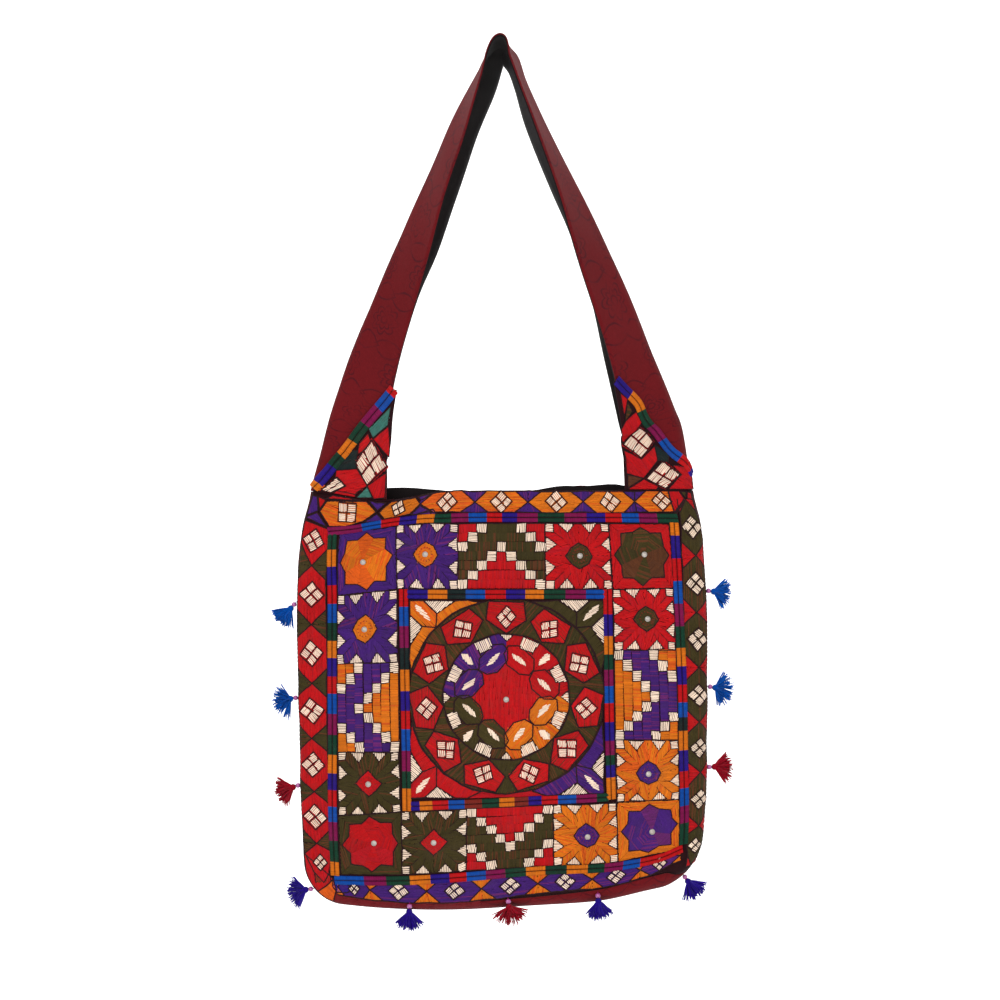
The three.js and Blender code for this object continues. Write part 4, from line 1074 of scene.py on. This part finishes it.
hemLow = pouch["height"] - 1
redCorner = [(-189.2, 343)] + cornerEdge(0, 46) + [(-167.4, 371.5), (-162.4, 366), (-168, 360.5),
                                                   (-174.5, 356)]
amberCorner = cornerEdge(46, 76) + [(-159, 376.5), (-162.6, 366), (-167.4, 371.5)]
hem = cornerEdge(72, 90) + [(-120, hemLow), (-20, hemLow), (-20, 381.5), (-70, 382.5), (-120, 381.5),
                            (-158, 378)]
front.satin(hem, 0.0, "madder", lift=-0.3)
navyCorner = [(-162.9, 365.5), (-157, 365), (-149, 369.5), (-143, 373), (-149, 377.4), (-158, 378.4),
              (-162.6, 374)]
for shape, dye, way in (
        ([(128.6, 10.7), (128.8, 0.9), (141, 0.9)], "purple", 0.4),
                        ([(128.6, 10.7), (128.8, 20.4), (141, 20.4)], "purple", 0.4),
        ([(-130, 0.8), (-112.5, 1.6), (-120.5, 8)], "purple", 0.3),
                        ([(-121, 10.4), (-113, 17.4), (-133, 20.4)], "purple", 0.2),
        ([(-103, 0.8), (-84, 0.8), (-104, 1.2)], "purple", 0.1),
                        ([(-86, 15.6), (-77.5, 9.8), (-67, 16.5), (-67, 20)], "purple", -0.4),
        ([(-79, 1), (-64, 1), (-76, 5)], "purple", 0.1), ([(-187, 4), (-182, 4), (-179, 16), (-189, 22.5)],
                                                          "purple", 1.2),
        ([(-189, 24), (-179.5, 17.5), (-166.5, 29.5)], "purple", 0.5),
                        ([(-181, 4), (-173.8, 5.4), (-178, 14.6)], "red", 1.2),
        ([(-174, 4.6), (-168, 0.5), (-138, 0.6)], "red", 0.1),
                        ([(-84, 17), (-65, 14.5), (-60, 20.2), (-84, 20.2)], "purple", 0.1),
        ([(165, 0.9), (174.5, 0.9), (178.5, 7.5), (166, 21)], "red", 1.2),
                        ([(175.5, 0.9), (182, 0.9), (180, 7)], "olive", 0.4),
        (redCorner, "red", 1.3), (amberCorner, "amber", 0.8), (navyCorner, "navy", 0.2),
        ([(183, 1), (188, 2), (189, 9), (182, 7.5)], "red", 0.4),
                        ([(179, 8.5), (168.5, 21), (166, 29), (165.8, 22)], "olive", 0.9)):
    front.patch(shape, way, dye)


def threadFinish(dye):  # the whites are cotton, the rest is silk
    return finishes["cotton" if dye == "white" else "floss"]


for dye, heap in front.heaps.items():
    name = dye if dye == "outlines" else dye + "Satin"
    mesh = heap.mesh(name, onFront)
    finishPiece(name, mesh, threadFinish(dye), [])
    print(name, len(mesh.polygons) * 2, "triangles")

ground = clothSheet("frontGround", frontPoint, 104, 104, (0.388, 0.386), 1.4, finishes["ground"],
                    "embroidery", ["front_panel"], lift=-0.55)


# braids: two couched ridges of thread, wrapped in blocks of colour
braidForm = dict(ridge=2.2, reach=2.1, rise=1.5, base=0.1, pitch=1.0, thread=1.1, ply=0.5)
earBraids = dict(left=dict(ridge=3.0, reach=2.9, rise=1.7), right=dict(ridge=2.6, reach=2.5, rise=1.6))


def smoothPath(points, spacing):
    points = np.asarray(points, float)
    fine = np.linspace(0, len(points) - 1, len(points) * 24)
    dense = np.stack([rowAt(points[:, k], fine) for k in (0, 1)], -1)
    run = np.concatenate([[0], np.cumsum(np.hypot(*np.diff(dense, axis=0).T))])
    count = max(2, round(run[-1] / spacing))
    even = np.linspace(0, run[-1], count + 1)
    return np.stack([np.interp(even, run, dense[:, k]) for k in (0, 1)], -1)


def layBraid(heap, points, dyeAt, form=braidForm):
    path = smoothPath(points, form["pitch"])
    way = np.gradient(path, axis=0)
    way /= np.hypot(way[:, 0], way[:, 1])[:, None]
    side = np.stack([-way[:, 1], way[:, 0]], -1)
    arch = np.array([-1, -0.62, 0, 0.62, 1])
    lifts = form["base"] + form["rise"] * np.array([-0.15, 0.78, 1, 0.78, -0.15])
    for p, s, w in zip(path, side, way):
        dye = dyeAt(*p)
        for ridge in (-1, 1):
            middle = p + s * ridge * form["ridge"] + w * rng.normal(0, 0.06)
            points = middle + s * (arch * form["reach"])[:, None] + w * (arch * rng.normal(0.06, 0.05))[:,
                    None]
            heap.thread(points, lifts, form["thread"], form["ply"], dye, rng.normal(1, 0.07))
    for k in range(0, len(path) - 3, 3):
        heap.thread(path[k:k + 4], np.array([0.35, 0.75, 0.75, 0.35]), 0.55, 0.4, "maroon", 1.0)


def colourRuns(text, at):  # a dye for each stretch, named with the place where it ends
    words = text.split()
    stops = [(words[i], float(words[i + 1])) for i in range(0, len(words), 2)]
    return lambda x, y: next((dye for dye, end in stops if (x, y)[at] < end), stops[-1][0])


outerSides = [
    ([(-164.8, 34), (-140.7, 28.2), (-122.9, 22.8), (-105.2, 20.6), (-88.4, 21.5), (-71, 22.8),
      (-54.8, 24.6), (-38.9, 24.8),
      (25.8, 25.2), (91.9, 25.2), (167.6, 26)],
     "magenta -133 blue -115 red -97 navy -80 orange -63 green -47 magenta -31 blue -14 red -0 navy 14 "
     "magenta 33 forest 58 magenta 79 navy 97 red 113 blue 130 magenta 148 green 999", 0),
    ([(163.5, 30.4), (163, 65), (164, 120), (166.5, 195), (168.5, 280), (172, 350)],
     "orange 42 navy 63 red 84 blue 105 magenta 126 green 146 orange 163 navy 180 red 197 blue 212 ink "
     "226 orange 247 navy 270 red 289 blue 309 magenta 328 green 999", 1),
    ([(-160, 367), (-96, 362.5), (-48, 359), (-2, 357), (44, 356), (92, 357.5), (141, 360), (171, 355)],
     "blue -132 magenta -110 green -87 orange -67 navy -49 red -33 blue -15 magenta 3 green 22 orange 40 "
     "forest 60 orange 80 green 96 magenta 114 blue 131 red 999", 0),
    ([(-160.5, 36), (-157, 101), (-158, 194), (-160, 290), (-160, 362)],
     "green 51 orange 68 navy 86 red 104 blue 122 forest 139 orange 155 navy 172 red 188 blue 207 "
     "magenta 227 green 246 orange 264 navy 280 red 296 blue 311 magenta 329 green 349 orange 999", 1)]
innerSides = [
    ([(-87, 96), (-2, 96), (94, 96)],
     "navy -68 orange -50 ink -33 blue -15 red 4 navy 22 orange 39 green 59 magenta 78 blue 999", 0),
    ([(97.5, 92), (98, 157), (99, 222), (101, 290)],
     "red 115 navy 135 orange 152 green 166 magenta 181 blue 197 red 215 navy 233 magenta 247 green 257 "
     "navy 269 orange 999", 1),
    ([(-84, 292), (-48, 290), (-2, 289), (44, 288), (98, 288)],
     "navy -77 orange -65 red -50 blue -35 rust -19 green -3 orange 11 rust 24 navy 36 red 51 blue 68 "
     "magenta 87 green 999", 0),
    ([(-91, 92), (-90, 157), (-89, 231), (-88.5, 296)],
     "red 107 blue 125 magenta 145 ink 165 orange 185 navy 203 red 220 blue 240 magenta 259 green 275 "
     "orange 999", 1)]
for name, node, sides in (("outerBraid", "outer_braid", outerSides), ("innerBraid", "inner_braid",
                                                                      innerSides)):
    heap = Stitching()
    for points, text, at in sides:
        layBraid(heap, points, colourRuns(text, at))
    finishPiece(name, heap.mesh(name, onFront), finishes["floss"], [node])
print("braids laid")

# ears on the strap's feet, in millimetres in from the fold and up from the foot
foldRuns = {}
for side in (-1, 1):
    places = np.linspace(0, lastRow / 2, 400)
    places = places if side < 0 else lastRow - places
    x, down = foldLine(places)
    foldRuns[side] = (np.concatenate([[0], np.cumsum(np.hypot(np.diff(x), np.diff(down)))]), places)


def onStrap(side, inward, up, lift):
    run, places = foldRuns[side]
    place = np.interp(np.maximum(up, 0.8), run, places)
    across = -np.maximum(inward, 0.01) / (strapForm["flapWidth"] * rowAt(strapRows[2], place))
    return strapPoint(place, across, lift)


earWorks = {
    "left": dict(side=-1, patches=[
        ("teal", 1.1, [(64, 99), (66, 79), (54, 61), (48, 70)]),
                                   ("red", 1.2, [(67, 77), (75, 42), (55, 59)]),
        ("red", 1.0, [(48, 64), (41, 51), (44, 40), (49, 46), (52, 56)]),
        ("red", 0.3, [(26, 21), (45, 25), (58, 11), (49, 5), (49, 1), (26, 1), (31, 4), (38, 9), (26, 14)]),
        ("ink", 0.5, [(34, 43), (42, 43), (44, 26), (25, 22)]),
                                   ("red", 1.4, [(76, 24), (79, 3), (68, 1), (60, 11)]),
        ("teal", 0.2, [(59, 10), (66, 2), (51, 1)]),
                                   ("red", 0.1, [(9, 3.4), (48, 3.4), (50, 0.3), (9, 0.3)]),
                                   ("amber", 1.5, [(13, 14), (21, 1), (9, 1), (4, 7)])],
        whites=[([(53, 58), (43, 30), (59, 11), (76, 31)], True), ([(27, 15), (37, 9), (23, 1), (14, 2)],
                                                                   False)],
        braid=[(63, 117), (57, 103), (47, 83), (38, 63), (30, 43), (23, 31), (16, 18), (7, 4)],
        runs="orange 9 navy 25 forest 36 orange 53 green 73 magenta 94 blue 111 red 999"),
    "right": dict(side=1, patches=[
        ("red", 1.3, [(60, 112), (54, 105), (63, 92)]), ("olive", 0.6, [(55, 103), (53, 92), (64, 86)]),
        ("red", 1.2, [(49, 89), (47, 79), (52, 76), (70, 54), (70, 80), (63, 86)]),
        ("red", 1.0, [(71, 42), (56, 32), (40, 44), (40, 29), (56, 12), (73, 18)]),
        ("ink", 0.7, [(39, 45), (26, 35), (29, 28), (39, 29)]),
                                   ("brown", 0.1, [(73, 16), (57, 11), (74, 3)]),
        ("red", 0.1, [(56, 10), (44, 4), (46, 1), (74, 1)]),
                                   ("red", 0.6, [(25, 24), (5, 20), (7, 1), (33, 1), (18, 15)])],
        whites=[([(50, 76), (39, 49), (56, 33), (71, 50)], True), ([(34, 28), (19, 15), (36, 1), (54, 11)],
                                                                   True)],
        braid=[(60, 125), (53, 113), (44, 97), (42, 81), (35, 62), (25, 40), (11, 26), (4, 16)],
        runs="navy 20 red 31 blue 50 magenta 71 green 89 orange 107 navy 999")}
earRim = 78.5  # how far from the fold an ear's base reaches at the foot


def insetShape(shape, share):
    shape = np.array(shape, float)
    return [tuple(p) for p in shape.mean(0) + (shape - shape.mean(0)) * share]


def sideSurface(side, lift):  # millimetres over one foot of the strap
    return lambda inward, up, more: onStrap(side, inward, up, more + lift)


earForm = dict(stitchLift=1.35, clothLift=1.1, patchShare=1.05, bedShare=1.1, whiteShare=0.87, deepest=90,
               toeReach=3)
for name, work in earWorks.items():
    ear = Embroidery()
    side = work["side"]
    surface = sideSurface(side, earForm["stitchLift"])
    for dye, way, shape in work["patches"]:
        ear.patch(insetShape(shape, earForm["patchShare"]), way, dye, dict(width=0.9, lift=0.2), inset=0.0)
    for corners, four in work["whites"]:
        corners = np.array(corners, float)
        cells = 2 if four else 1
        ear.satin(insetShape(corners, earForm["bedShare"]), 1.1, "red", lift=-0.35)
        for i in range(2):
            for j in range(cells):
                quad = [(i / 2, j / cells), ((i + 1) / 2, j / cells), ((i + 1) / 2, (j + 1) / cells),
                        (i / 2, (j + 1) / cells)]
                shape = [mix(mix(corners[0], corners[1], u), mix(corners[3], corners[2], u), v) for u,
                         v in quad]
                way = math.atan2(*(corners[2] - corners[1])[::-1]) + rng.normal(0, 0.1)
                ear.white(insetShape(shape, earForm["whiteShare"]), way, edge=False)
        ear.line(corners, True, lift=0.5)
        middles = (corners + np.roll(corners, -1, axis=0)) / 2
        ear.line([middles[0], middles[2]], lift=0.6, width=1.0)
        if four:
            ear.line([middles[1], middles[3]], lift=0.6, width=1.0)
    for dye, heap in ear.heaps.items():
        piece = name + dye.capitalize() + "Stitches"
        finishPiece(piece, heap.mesh(piece, surface), threadFinish(dye), [])
    heap = Stitching()
    layBraid(heap, work["braid"], colourRuns(work["runs"], 1), {**braidForm, **earBraids[name]})
    finishPiece(name + "EarBraid", heap.mesh(name + "EarBraid", surface), finishes["floss"],
                [name + "_ear_braid"])
    braidIn, braidUp = (np.array(column, float) for column in zip(*work["braid"][::-1]))

    def earBase(u, v, lift, side=side, braidIn=braidIn, braidUp=braidUp):  # from the foot up to the braid
        rim = mix(braidIn[0], braidIn[-1] + earForm["toeReach"], u)
        top = np.interp(rim, braidIn, braidUp)
        inward = np.minimum(mix(rim, np.maximum(rim, mix(braidIn[0], earRim, u)), 1 - v),
                            earForm["deepest"])
        return onStrap(side, inward, v * top, lift)

    clothSheet(name + "Ear", earBase, 30, 40, (0.085, 0.12), 1.0, finishes["ground"],
                                "embroidery",
                                [name + "_ear"], lift=earForm["clothLift"])
seamForm = dict(runs=((-187.5, -106), (113, 188)), step=3.2, over=0.4, down=0.15, width=1.3, height=0.9)
footSeams = Stitching()
for low, high in seamForm["runs"]:
    for x in np.arange(low, high, seamForm["step"]):
        ends = x - seamForm["over"], x + seamForm["step"] + seamForm["over"]
        spots = np.stack([np.linspace(*ends, 4), np.full(4, seamForm["down"])], -1)
        footSeams.thread(spots, np.array([0.2, 0.5, 0.5, 0.2]), seamForm["width"], seamForm["height"],
                         "maroon", rng.normal(1, 0.1))
finishPiece("footSeams", footSeams.mesh("footSeams", onFront), finishes["cotton"], [])
print("ears made")

# the strap, its lining, the gusset, the back and the bag's lining
strapCrumple = dict(broad=0.5, close=0.25)


def crumpledStrap(u, v, lift):
    broad, close = np.sin(31 * v + 4 * u) * np.sin(9 * v + 2), np.sin(83 * v - 13 * u)
    return strapSheet(u, v, lift + (strapCrumple["broad"] * broad + strapCrumple["close"] * close))


outside = (pouch["plainWall"], finishes["printed"], "printed_cotton")
inside = (pouch["liningWall"], finishes["black"], "black_lining")
strap = clothSheet("strapCloth", crumpledStrap, 36, 210, (0.105, 0.9), *outside, ["strap"])
strapLining = clothSheet("strapLining", crumpledStrap, 24, 180, (0.105, 0.9), *inside, ["strap_lining"],
                         lift=-pouch["plainWall"] - pouch["layerGap"])
gusset = clothSheet("gussetCloth", gussetPoint, 160, 22, (1.12, 0.056), *outside, ["gusset"])
back = clothSheet("backCloth", backPoint, 72, 72, (0.27, 0.36), *outside, ["back_panel"])


# the lining shows above the back's rim
liningRises = [(-0.6, 0.26, 0.026), (-0.4, 0.2, 0.012), (0.32, 0.22, 0.013), (0.56, 0.22, 0.017)]


def liningPoint(face, u, v, lift):
    spot = columnSpot(u)
    x, bottom = outlinePlace(spot, coreSide, coreBottom, rimReach(spot))
    down = mix(2 * pouch["layerGap"], bottom, v)
    if face > 0:
        down = down - backRim(x, liningRises) * (1 - v) ** pouch["riseFade"]
    return pouchPoint(face, x, down, lift)


liningLift = -pouch["embroideredWall"] - pouch["liningGap"]
liningWalls = [
    clothSheet(name, lambda u, v, lift, face=face: liningPoint(face, u, v, lift), 66, 48, (0.37, 0.37),
               *inside, nodes, lift=liningLift)
    for name, face, nodes in (("liningFront", -1, ["bag_lining"]), ("liningBack", 1, []))]
print("cloth hung")


# sequins, tassels and beads
sequinLook = dict(radius=2.6, lift=1.35, colour=(190, 184, 178), worn=(120, 108, 98), roughness=0.4,
                  metallic=0.35, grain=300.0,
                  thick=0.0004, steps=((0.45, -0.25), (1.7, 0.12), (0.3, -0.3)))


def cloudedMaterial(name, roughness, grain, light, dark):
    material, w, shader = newMaterial(name, roughness)
    cloud = useGroup(w, mottle, Vector=w.node("TexCoord").outputs["Object"], Scale=grain)
    w.put(shader.inputs["Base Color"], w.blend(cloud.outputs["Shade"], srgb(*light), srgb(*dark)))
    return material, w, shader, cloud


metal, w, shader, cloud = cloudedMaterial("sequinMetal", sequinLook["roughness"], sequinLook["grain"],
                                          sequinLook["colour"],
                                          sequinLook["worn"])
shader.inputs["Metallic"].default_value = sequinLook["metallic"]
w.put(shader.inputs["Roughness"], w.ramp(cloud.outputs["Shade"], -0.2, 1.6))

bm = bmesh.new()
for x, down in sequinPlaces:
    middle, right, low = onFront(np.array([x, x + 4, x]), np.array([down, down, down + 4]),
                                 np.full(3, sequinLook["lift"]))
    outward = Vector(np.cross(low - middle, right - middle)).normalized()
    outward = -outward if outward.y > 0 else outward
    made = bmesh.ops.create_circle(bm, cap_ends=True, segments=24, radius=sequinLook["radius"] / 1000)
    disc = [f for f in bm.faces if all(v in set(made["verts"]) for v in f.verts)]
    parts = set(made["verts"])
    for inset, depth in sequinLook["steps"]:
        grown = bmesh.ops.inset_region(bm, faces=disc, thickness=inset / 1000, depth=depth / 1000)
        for face in grown["faces"] + disc:
            parts.update(face.verts)
    turn = outward.to_track_quat("Z", "Y").to_matrix().to_4x4()
    bmesh.ops.transform(bm, matrix=Matrix.Translation(Vector(middle) / 1000) @ turn, verts=list(parts))
sequins = finishPiece("sequins", smoothMesh(bm, "sequins"), metal,
                      ["sequin_%d" % (i + 1) for i in range(len(sequinSpots))])
wall = sequins.modifiers.new("wall", "SOLIDIFY")
wall.thickness, wall.offset = sequinLook["thick"], -1

tasselForm = dict(thread=4.6, long=20.5, strands=170, strand=0.6, lowSeat=0.15, beadRadius=2.4,
                  beadLength=4.0, hole=0.7,
                  wraps=7, wrapStep=0.7, wrap=0.5, threadRadius=0.34, flat=0.65, sag=2.0, curl=0.6)
tassels = [  # name, across, drop, turn on the rim, way it points, how far it opens, yarn
    ("left_1", -1, 0.294, -90, 230, 0.85, "blue"), ("left_2", -1, 0.544, -90, 192, 1.35, "blue"),
           ("left_3", -1, 0.783, -90, 200, 1.0, "red"),
    ("left_corner", -1, 1, -50, 190, 1.05, "navy"), ("bottom_1", -0.565, 1, 0, 268, 0.95, "navy"),
           ("bottom_2", 0.036, 1, 0, 278, 1.3, "red"),
    ("bottom_3", 0.585, 1, 0, 274, 0.9, "navy"), ("right_corner", 1, 1, 36, 306, 0.95, "navy"),
           ("right_3", 1, 0.759, 90, 3, 1.0, "red"),
    ("right_2", 1, 0.515, 90, 350, 1.3, "blue"), ("right_1", 1, 0.263, 90, 352, 1.05, "blue")]
yarnDyes = dict(blue=srgb(0, 72, 158), red=srgb(140, 6, 28), navy=srgb(34, 14, 124),
                magenta=srgb(130, 8, 80))
deep = np.array([0, 1.0, 0])


class Yarn:  # round strands in the open, gathered into one mesh
    def __init__(self):
        self.verts, self.quads, self.uvs, self.shades, self.colours, self.count = [], [], [], [], [], 0

    def strand(self, path, radius, dye, sides=4, shade=None):
        path = np.asarray(path, float)
        n = len(path)
        way = np.gradient(path, axis=0)
        way /= np.linalg.norm(way, axis=1)[:, None]
        guide = np.array([0.37, 0.61, 0.7]) if abs(way[:, 1]).max() > 0.9 else deep
        side = np.cross(way, guide)
        side /= np.linalg.norm(side, axis=1)[:, None]
        other = np.cross(way, side)
        radius = np.broadcast_to(radius, n)
        turns = np.arange(sides) * tau / sides
        ring = side[:, None] * np.cos(turns)[None, :, None] + other[:, None] * np.sin(turns)[None, :, None]
        self.verts.append((path[:, None] + ring * radius[:, None, None]).reshape(-1, 3))
        along = np.concatenate([[0],
                                np.cumsum(np.linalg.norm(np.diff(path, axis=0),
                                                         axis=1))]) / 1000 + rng.random()
        self.uvs.append(np.stack(np.broadcast_arrays(along[:, None], turns[None] / tau), -1).reshape(-1, 2))
        self.shades.append(np.full(n * sides, rng.normal(1, 0.12) if shade is None else shade))
        self.colours.append(np.broadcast_to(np.array(yarnDyes[dye]), (n * sides, 4)))
        i, k = np.meshgrid(np.arange(n - 1), np.arange(sides), indexing="ij")
        j = (k + 1) % sides
        self.quads.append(self.count + np.stack([i * sides + k, i * sides + j, (i + 1) * sides + j,
                                                 (i + 1) * sides + k], -1).reshape(-1, 4))
        self.count += n * sides

    def mesh(self, name):
        quads = np.concatenate(self.quads)
        return bareMesh(name, np.concatenate(self.verts) / 1000, quads, np.concatenate(self.uvs),
                        np.concatenate(self.shades),
                        np.concatenate(self.colours))


# the beads' second colour is a painted highlight, standing for the glass's light centre, mottled over the
# base colour
beadLook = dict(roughness=0.22, coat=0.5, grain=220.0, colour=(112, 16, 92), paintedHighlight=(168, 92, 150))
beadGlass, w, shader, cloud = cloudedMaterial("beadGlass", beadLook["roughness"], beadLook["grain"],
                                              beadLook["colour"],
                                              beadLook["paintedHighlight"])
shader.inputs["Coat Weight"].default_value = beadLook["coat"]

for name, across, drop, turn, points, opening, yarn in tassels:
    spot = (np.array(float(across)), np.array(float(drop)), np.array(math.radians(turn)))
    seat = tasselForm["lowSeat"] if turn == 0 else 1
    x, down = outlinePlace(spot, coreSide, coreBottom, mix(flatReach(spot), rimReach(spot), seat))
    rim, raised = pouchPoint(-1, x, down, 0.0), pouchPoint(-1, x, down, 1.0)
    outward = (raised - rim) / np.linalg.norm(raised - rim)
    way = np.array([math.cos(math.radians(points)), 0, math.sin(math.radians(points))])
    start = rim + outward * (pouch["layerGap"] + (1 - abs(outward @ way)) * tasselForm["beadRadius"])
    right = np.array([way[2], 0, -way[0]])
    yarnHeap = Yarn()
    neck = start + way * tasselForm["thread"]
    for offset in (-0.35, 0.35):
        bow = np.linspace(0, 1, 9)[:, None]
        path = start - way * 1.2 + way * (tasselForm["thread"] + 2.5) * bow + right * offset * np.sin(bow
                * np.pi) + deep * offset * 0.6
        yarnHeap.strand(path, tasselForm["threadRadius"], "magenta" if yarn != "blue" else yarn, 5)
    for k in range(tasselForm["wraps"]):
        t = np.linspace(0, tau, 17)[:, None]
        reach = 0.7 + 2.0 * math.sin(math.pi * (k + 1) / 8)
        climb = neck + way * (0.2 + tasselForm["wrapStep"] * k)
        ring = climb + right * reach * np.cos(t) + deep * reach * 0.85 * np.sin(t) + way * 0.1 * t
        yarnHeap.strand(ring, tasselForm["wrap"], yarn, 4, 0.8)
    for k in range(tasselForm["strands"]):
        lean, spin = opening * rng.random() ** 0.6, rng.random() * tau
        out = right * math.cos(spin) + deep * math.sin(spin) * tasselForm["flat"]
        along = way * math.cos(lean) + out * math.sin(lean)
        t = np.linspace(0, 1, 6)[:, None]
        curl = (right * np.sin(t * rng.uniform(3, 8) + spin) + deep * np.cos(t * rng.uniform(3,
                8))) * tasselForm["curl"] * t
        sag = np.array([0, 0,
                        -1.0]) * tasselForm["sag"] * t ** 2 * (1 - abs(way[2]) * 0.5) * rng.uniform(0.2, 1)
        root = neck + way * 2.6 + out * rng.uniform(0.2, 1.4)
        path = root + along * (tasselForm["long"] - 3) * rng.uniform(0.78, 1.04) * t + curl + sag
        yarnHeap.strand(path, tasselForm["strand"] * np.linspace(1, 0.8, 6), yarn, 3)
    piece = "tassel_" + name
    finishPiece(piece + "_yarn", yarnHeap.mesh(piece + "_yarn"), finishes["yarn"], [piece])

    bm = bmesh.new()
    half, radius, hole = tasselForm["beadLength"] / 2, tasselForm["beadRadius"], tasselForm["hole"]
    outline = [(hole, -half * 0.86), (hole + 0.5, -half), (radius * 0.8, -half * 0.8),
               (radius, -half * 0.25), (radius, half * 0.25),
               (radius * 0.8, half * 0.8), (hole + 0.5, half), (hole, half * 0.86)]
    knots = [bm.verts.new((r / 1000, 0, z / 1000)) for r, z in outline]
    edges = [bm.edges.new(pair) for pair in zip(knots, knots[1:] + knots[:1])]
    bmesh.ops.spin(bm, geom=knots + edges, cent=(0, 0, 0), axis=(0, 0, 1), angle=tau, steps=20,
                   use_merge=True)
    bmesh.ops.recalc_face_normals(bm, faces=bm.faces)
    centre = start + way * (half + pouch["layerGap"])
    turnTo = Vector(way).to_track_quat("Z", "Y").to_matrix().to_4x4()
    bmesh.ops.transform(bm, matrix=Matrix.Translation(Vector(centre) / 1000) @ turnTo, verts=bm.verts)
    piece = "bead_" + name
    finishPiece(piece + "_glass", smoothMesh(bm, piece + "_glass"), beadGlass, [piece])
print("tassels tied")

# stage: a pale floor that sweeps up behind the bag, soft light, and the camera
stageForm = dict(floor=-1.3, near=-4.0, bend=2.4, far=3.8, wide=6.0, top=3.8, rise=1.2, paper=0.93,
                 roughness=0.95, room=0.75)
bm = bmesh.new()
bend, floor = stageForm["bend"], stageForm["floor"]
turns = np.linspace(0, math.pi / 2, 12)
curve = [(bend + (stageForm["far"] - bend) * math.sin(a), floor + stageForm["rise"] * (1 - math.cos(a)))
         for a in turns]
sweep = [(stageForm["near"], floor)] + curve + [(stageForm["far"], stageForm["top"])]
rail = [bm.verts.new((-stageForm["wide"], y, z)) for y, z in sweep]
edges = [bm.edges.new(pair) for pair in zip(rail[:-1], rail[1:])]
grown = bmesh.ops.extrude_edge_only(bm, edges=edges)
bmesh.ops.translate(bm, vec=(2 * stageForm["wide"], 0, 0),
                    verts=[g for g in grown["geom"] if isinstance(g, bmesh.types.BMVert)])
bmesh.ops.recalc_face_normals(bm, faces=bm.faces)
backdrop = bpy.data.objects.new("backdrop", smoothMesh(bm, "backdrop"))
bpy.context.collection.objects.link(backdrop)
paper, w, shader = newMaterial("backdropPaper", stageForm["roughness"])
shader.inputs["Base Color"].default_value = (stageForm["paper"],) * 3 + (1,)
backdrop.data.materials.append(paper)

lightPlan = dict(
    key=dict(place=(-1.5, -2.6, 0.9), aim=(0, 0, -0.45), size=1.6, power=62),
    fill=dict(place=(1.9, -2.4, 0.1), aim=(0, 0, -0.45), size=2.2, power=36),
    wash=dict(place=(0, 1.4, 2.6), aim=(0, 3.8, 0.2), size=3.0, power=150))
for name, plan in lightPlan.items():
    lamp = bpy.data.lights.new(name, "AREA")
    lamp.energy, lamp.size = plan["power"], plan["size"]
    holder = bpy.data.objects.new(name, lamp)
    holder.location = plan["place"]
    holder.rotation_euler = (Vector(plan["aim"]) - Vector(plan["place"])).to_track_quat("-Z",
                                                                                        "Y").to_euler()
    bpy.context.collection.objects.link(holder)
world = bpy.data.worlds.new("softRoom")
world.use_nodes = True
world.node_tree.nodes["Background"].inputs["Color"].default_value = (1, 1, 1, 1)
world.node_tree.nodes["Background"].inputs["Strength"].default_value = stageForm["room"]
bpy.context.scene.world = world

cameraPlan = dict(place=(-0.0019, -2.8, -0.421), lens=108.39)
camera = bpy.data.objects.new("camera", bpy.data.cameras.new("camera"))
camera.data.lens = cameraPlan["lens"]
camera.data.sensor_width = 36
camera.location = cameraPlan["place"]
camera.rotation_euler = (math.pi / 2, 0, 0)
bpy.context.collection.objects.link(camera)
bpy.context.scene.camera = camera
bpy.context.scene.view_settings.view_transform = "Standard"

print("bag finished")
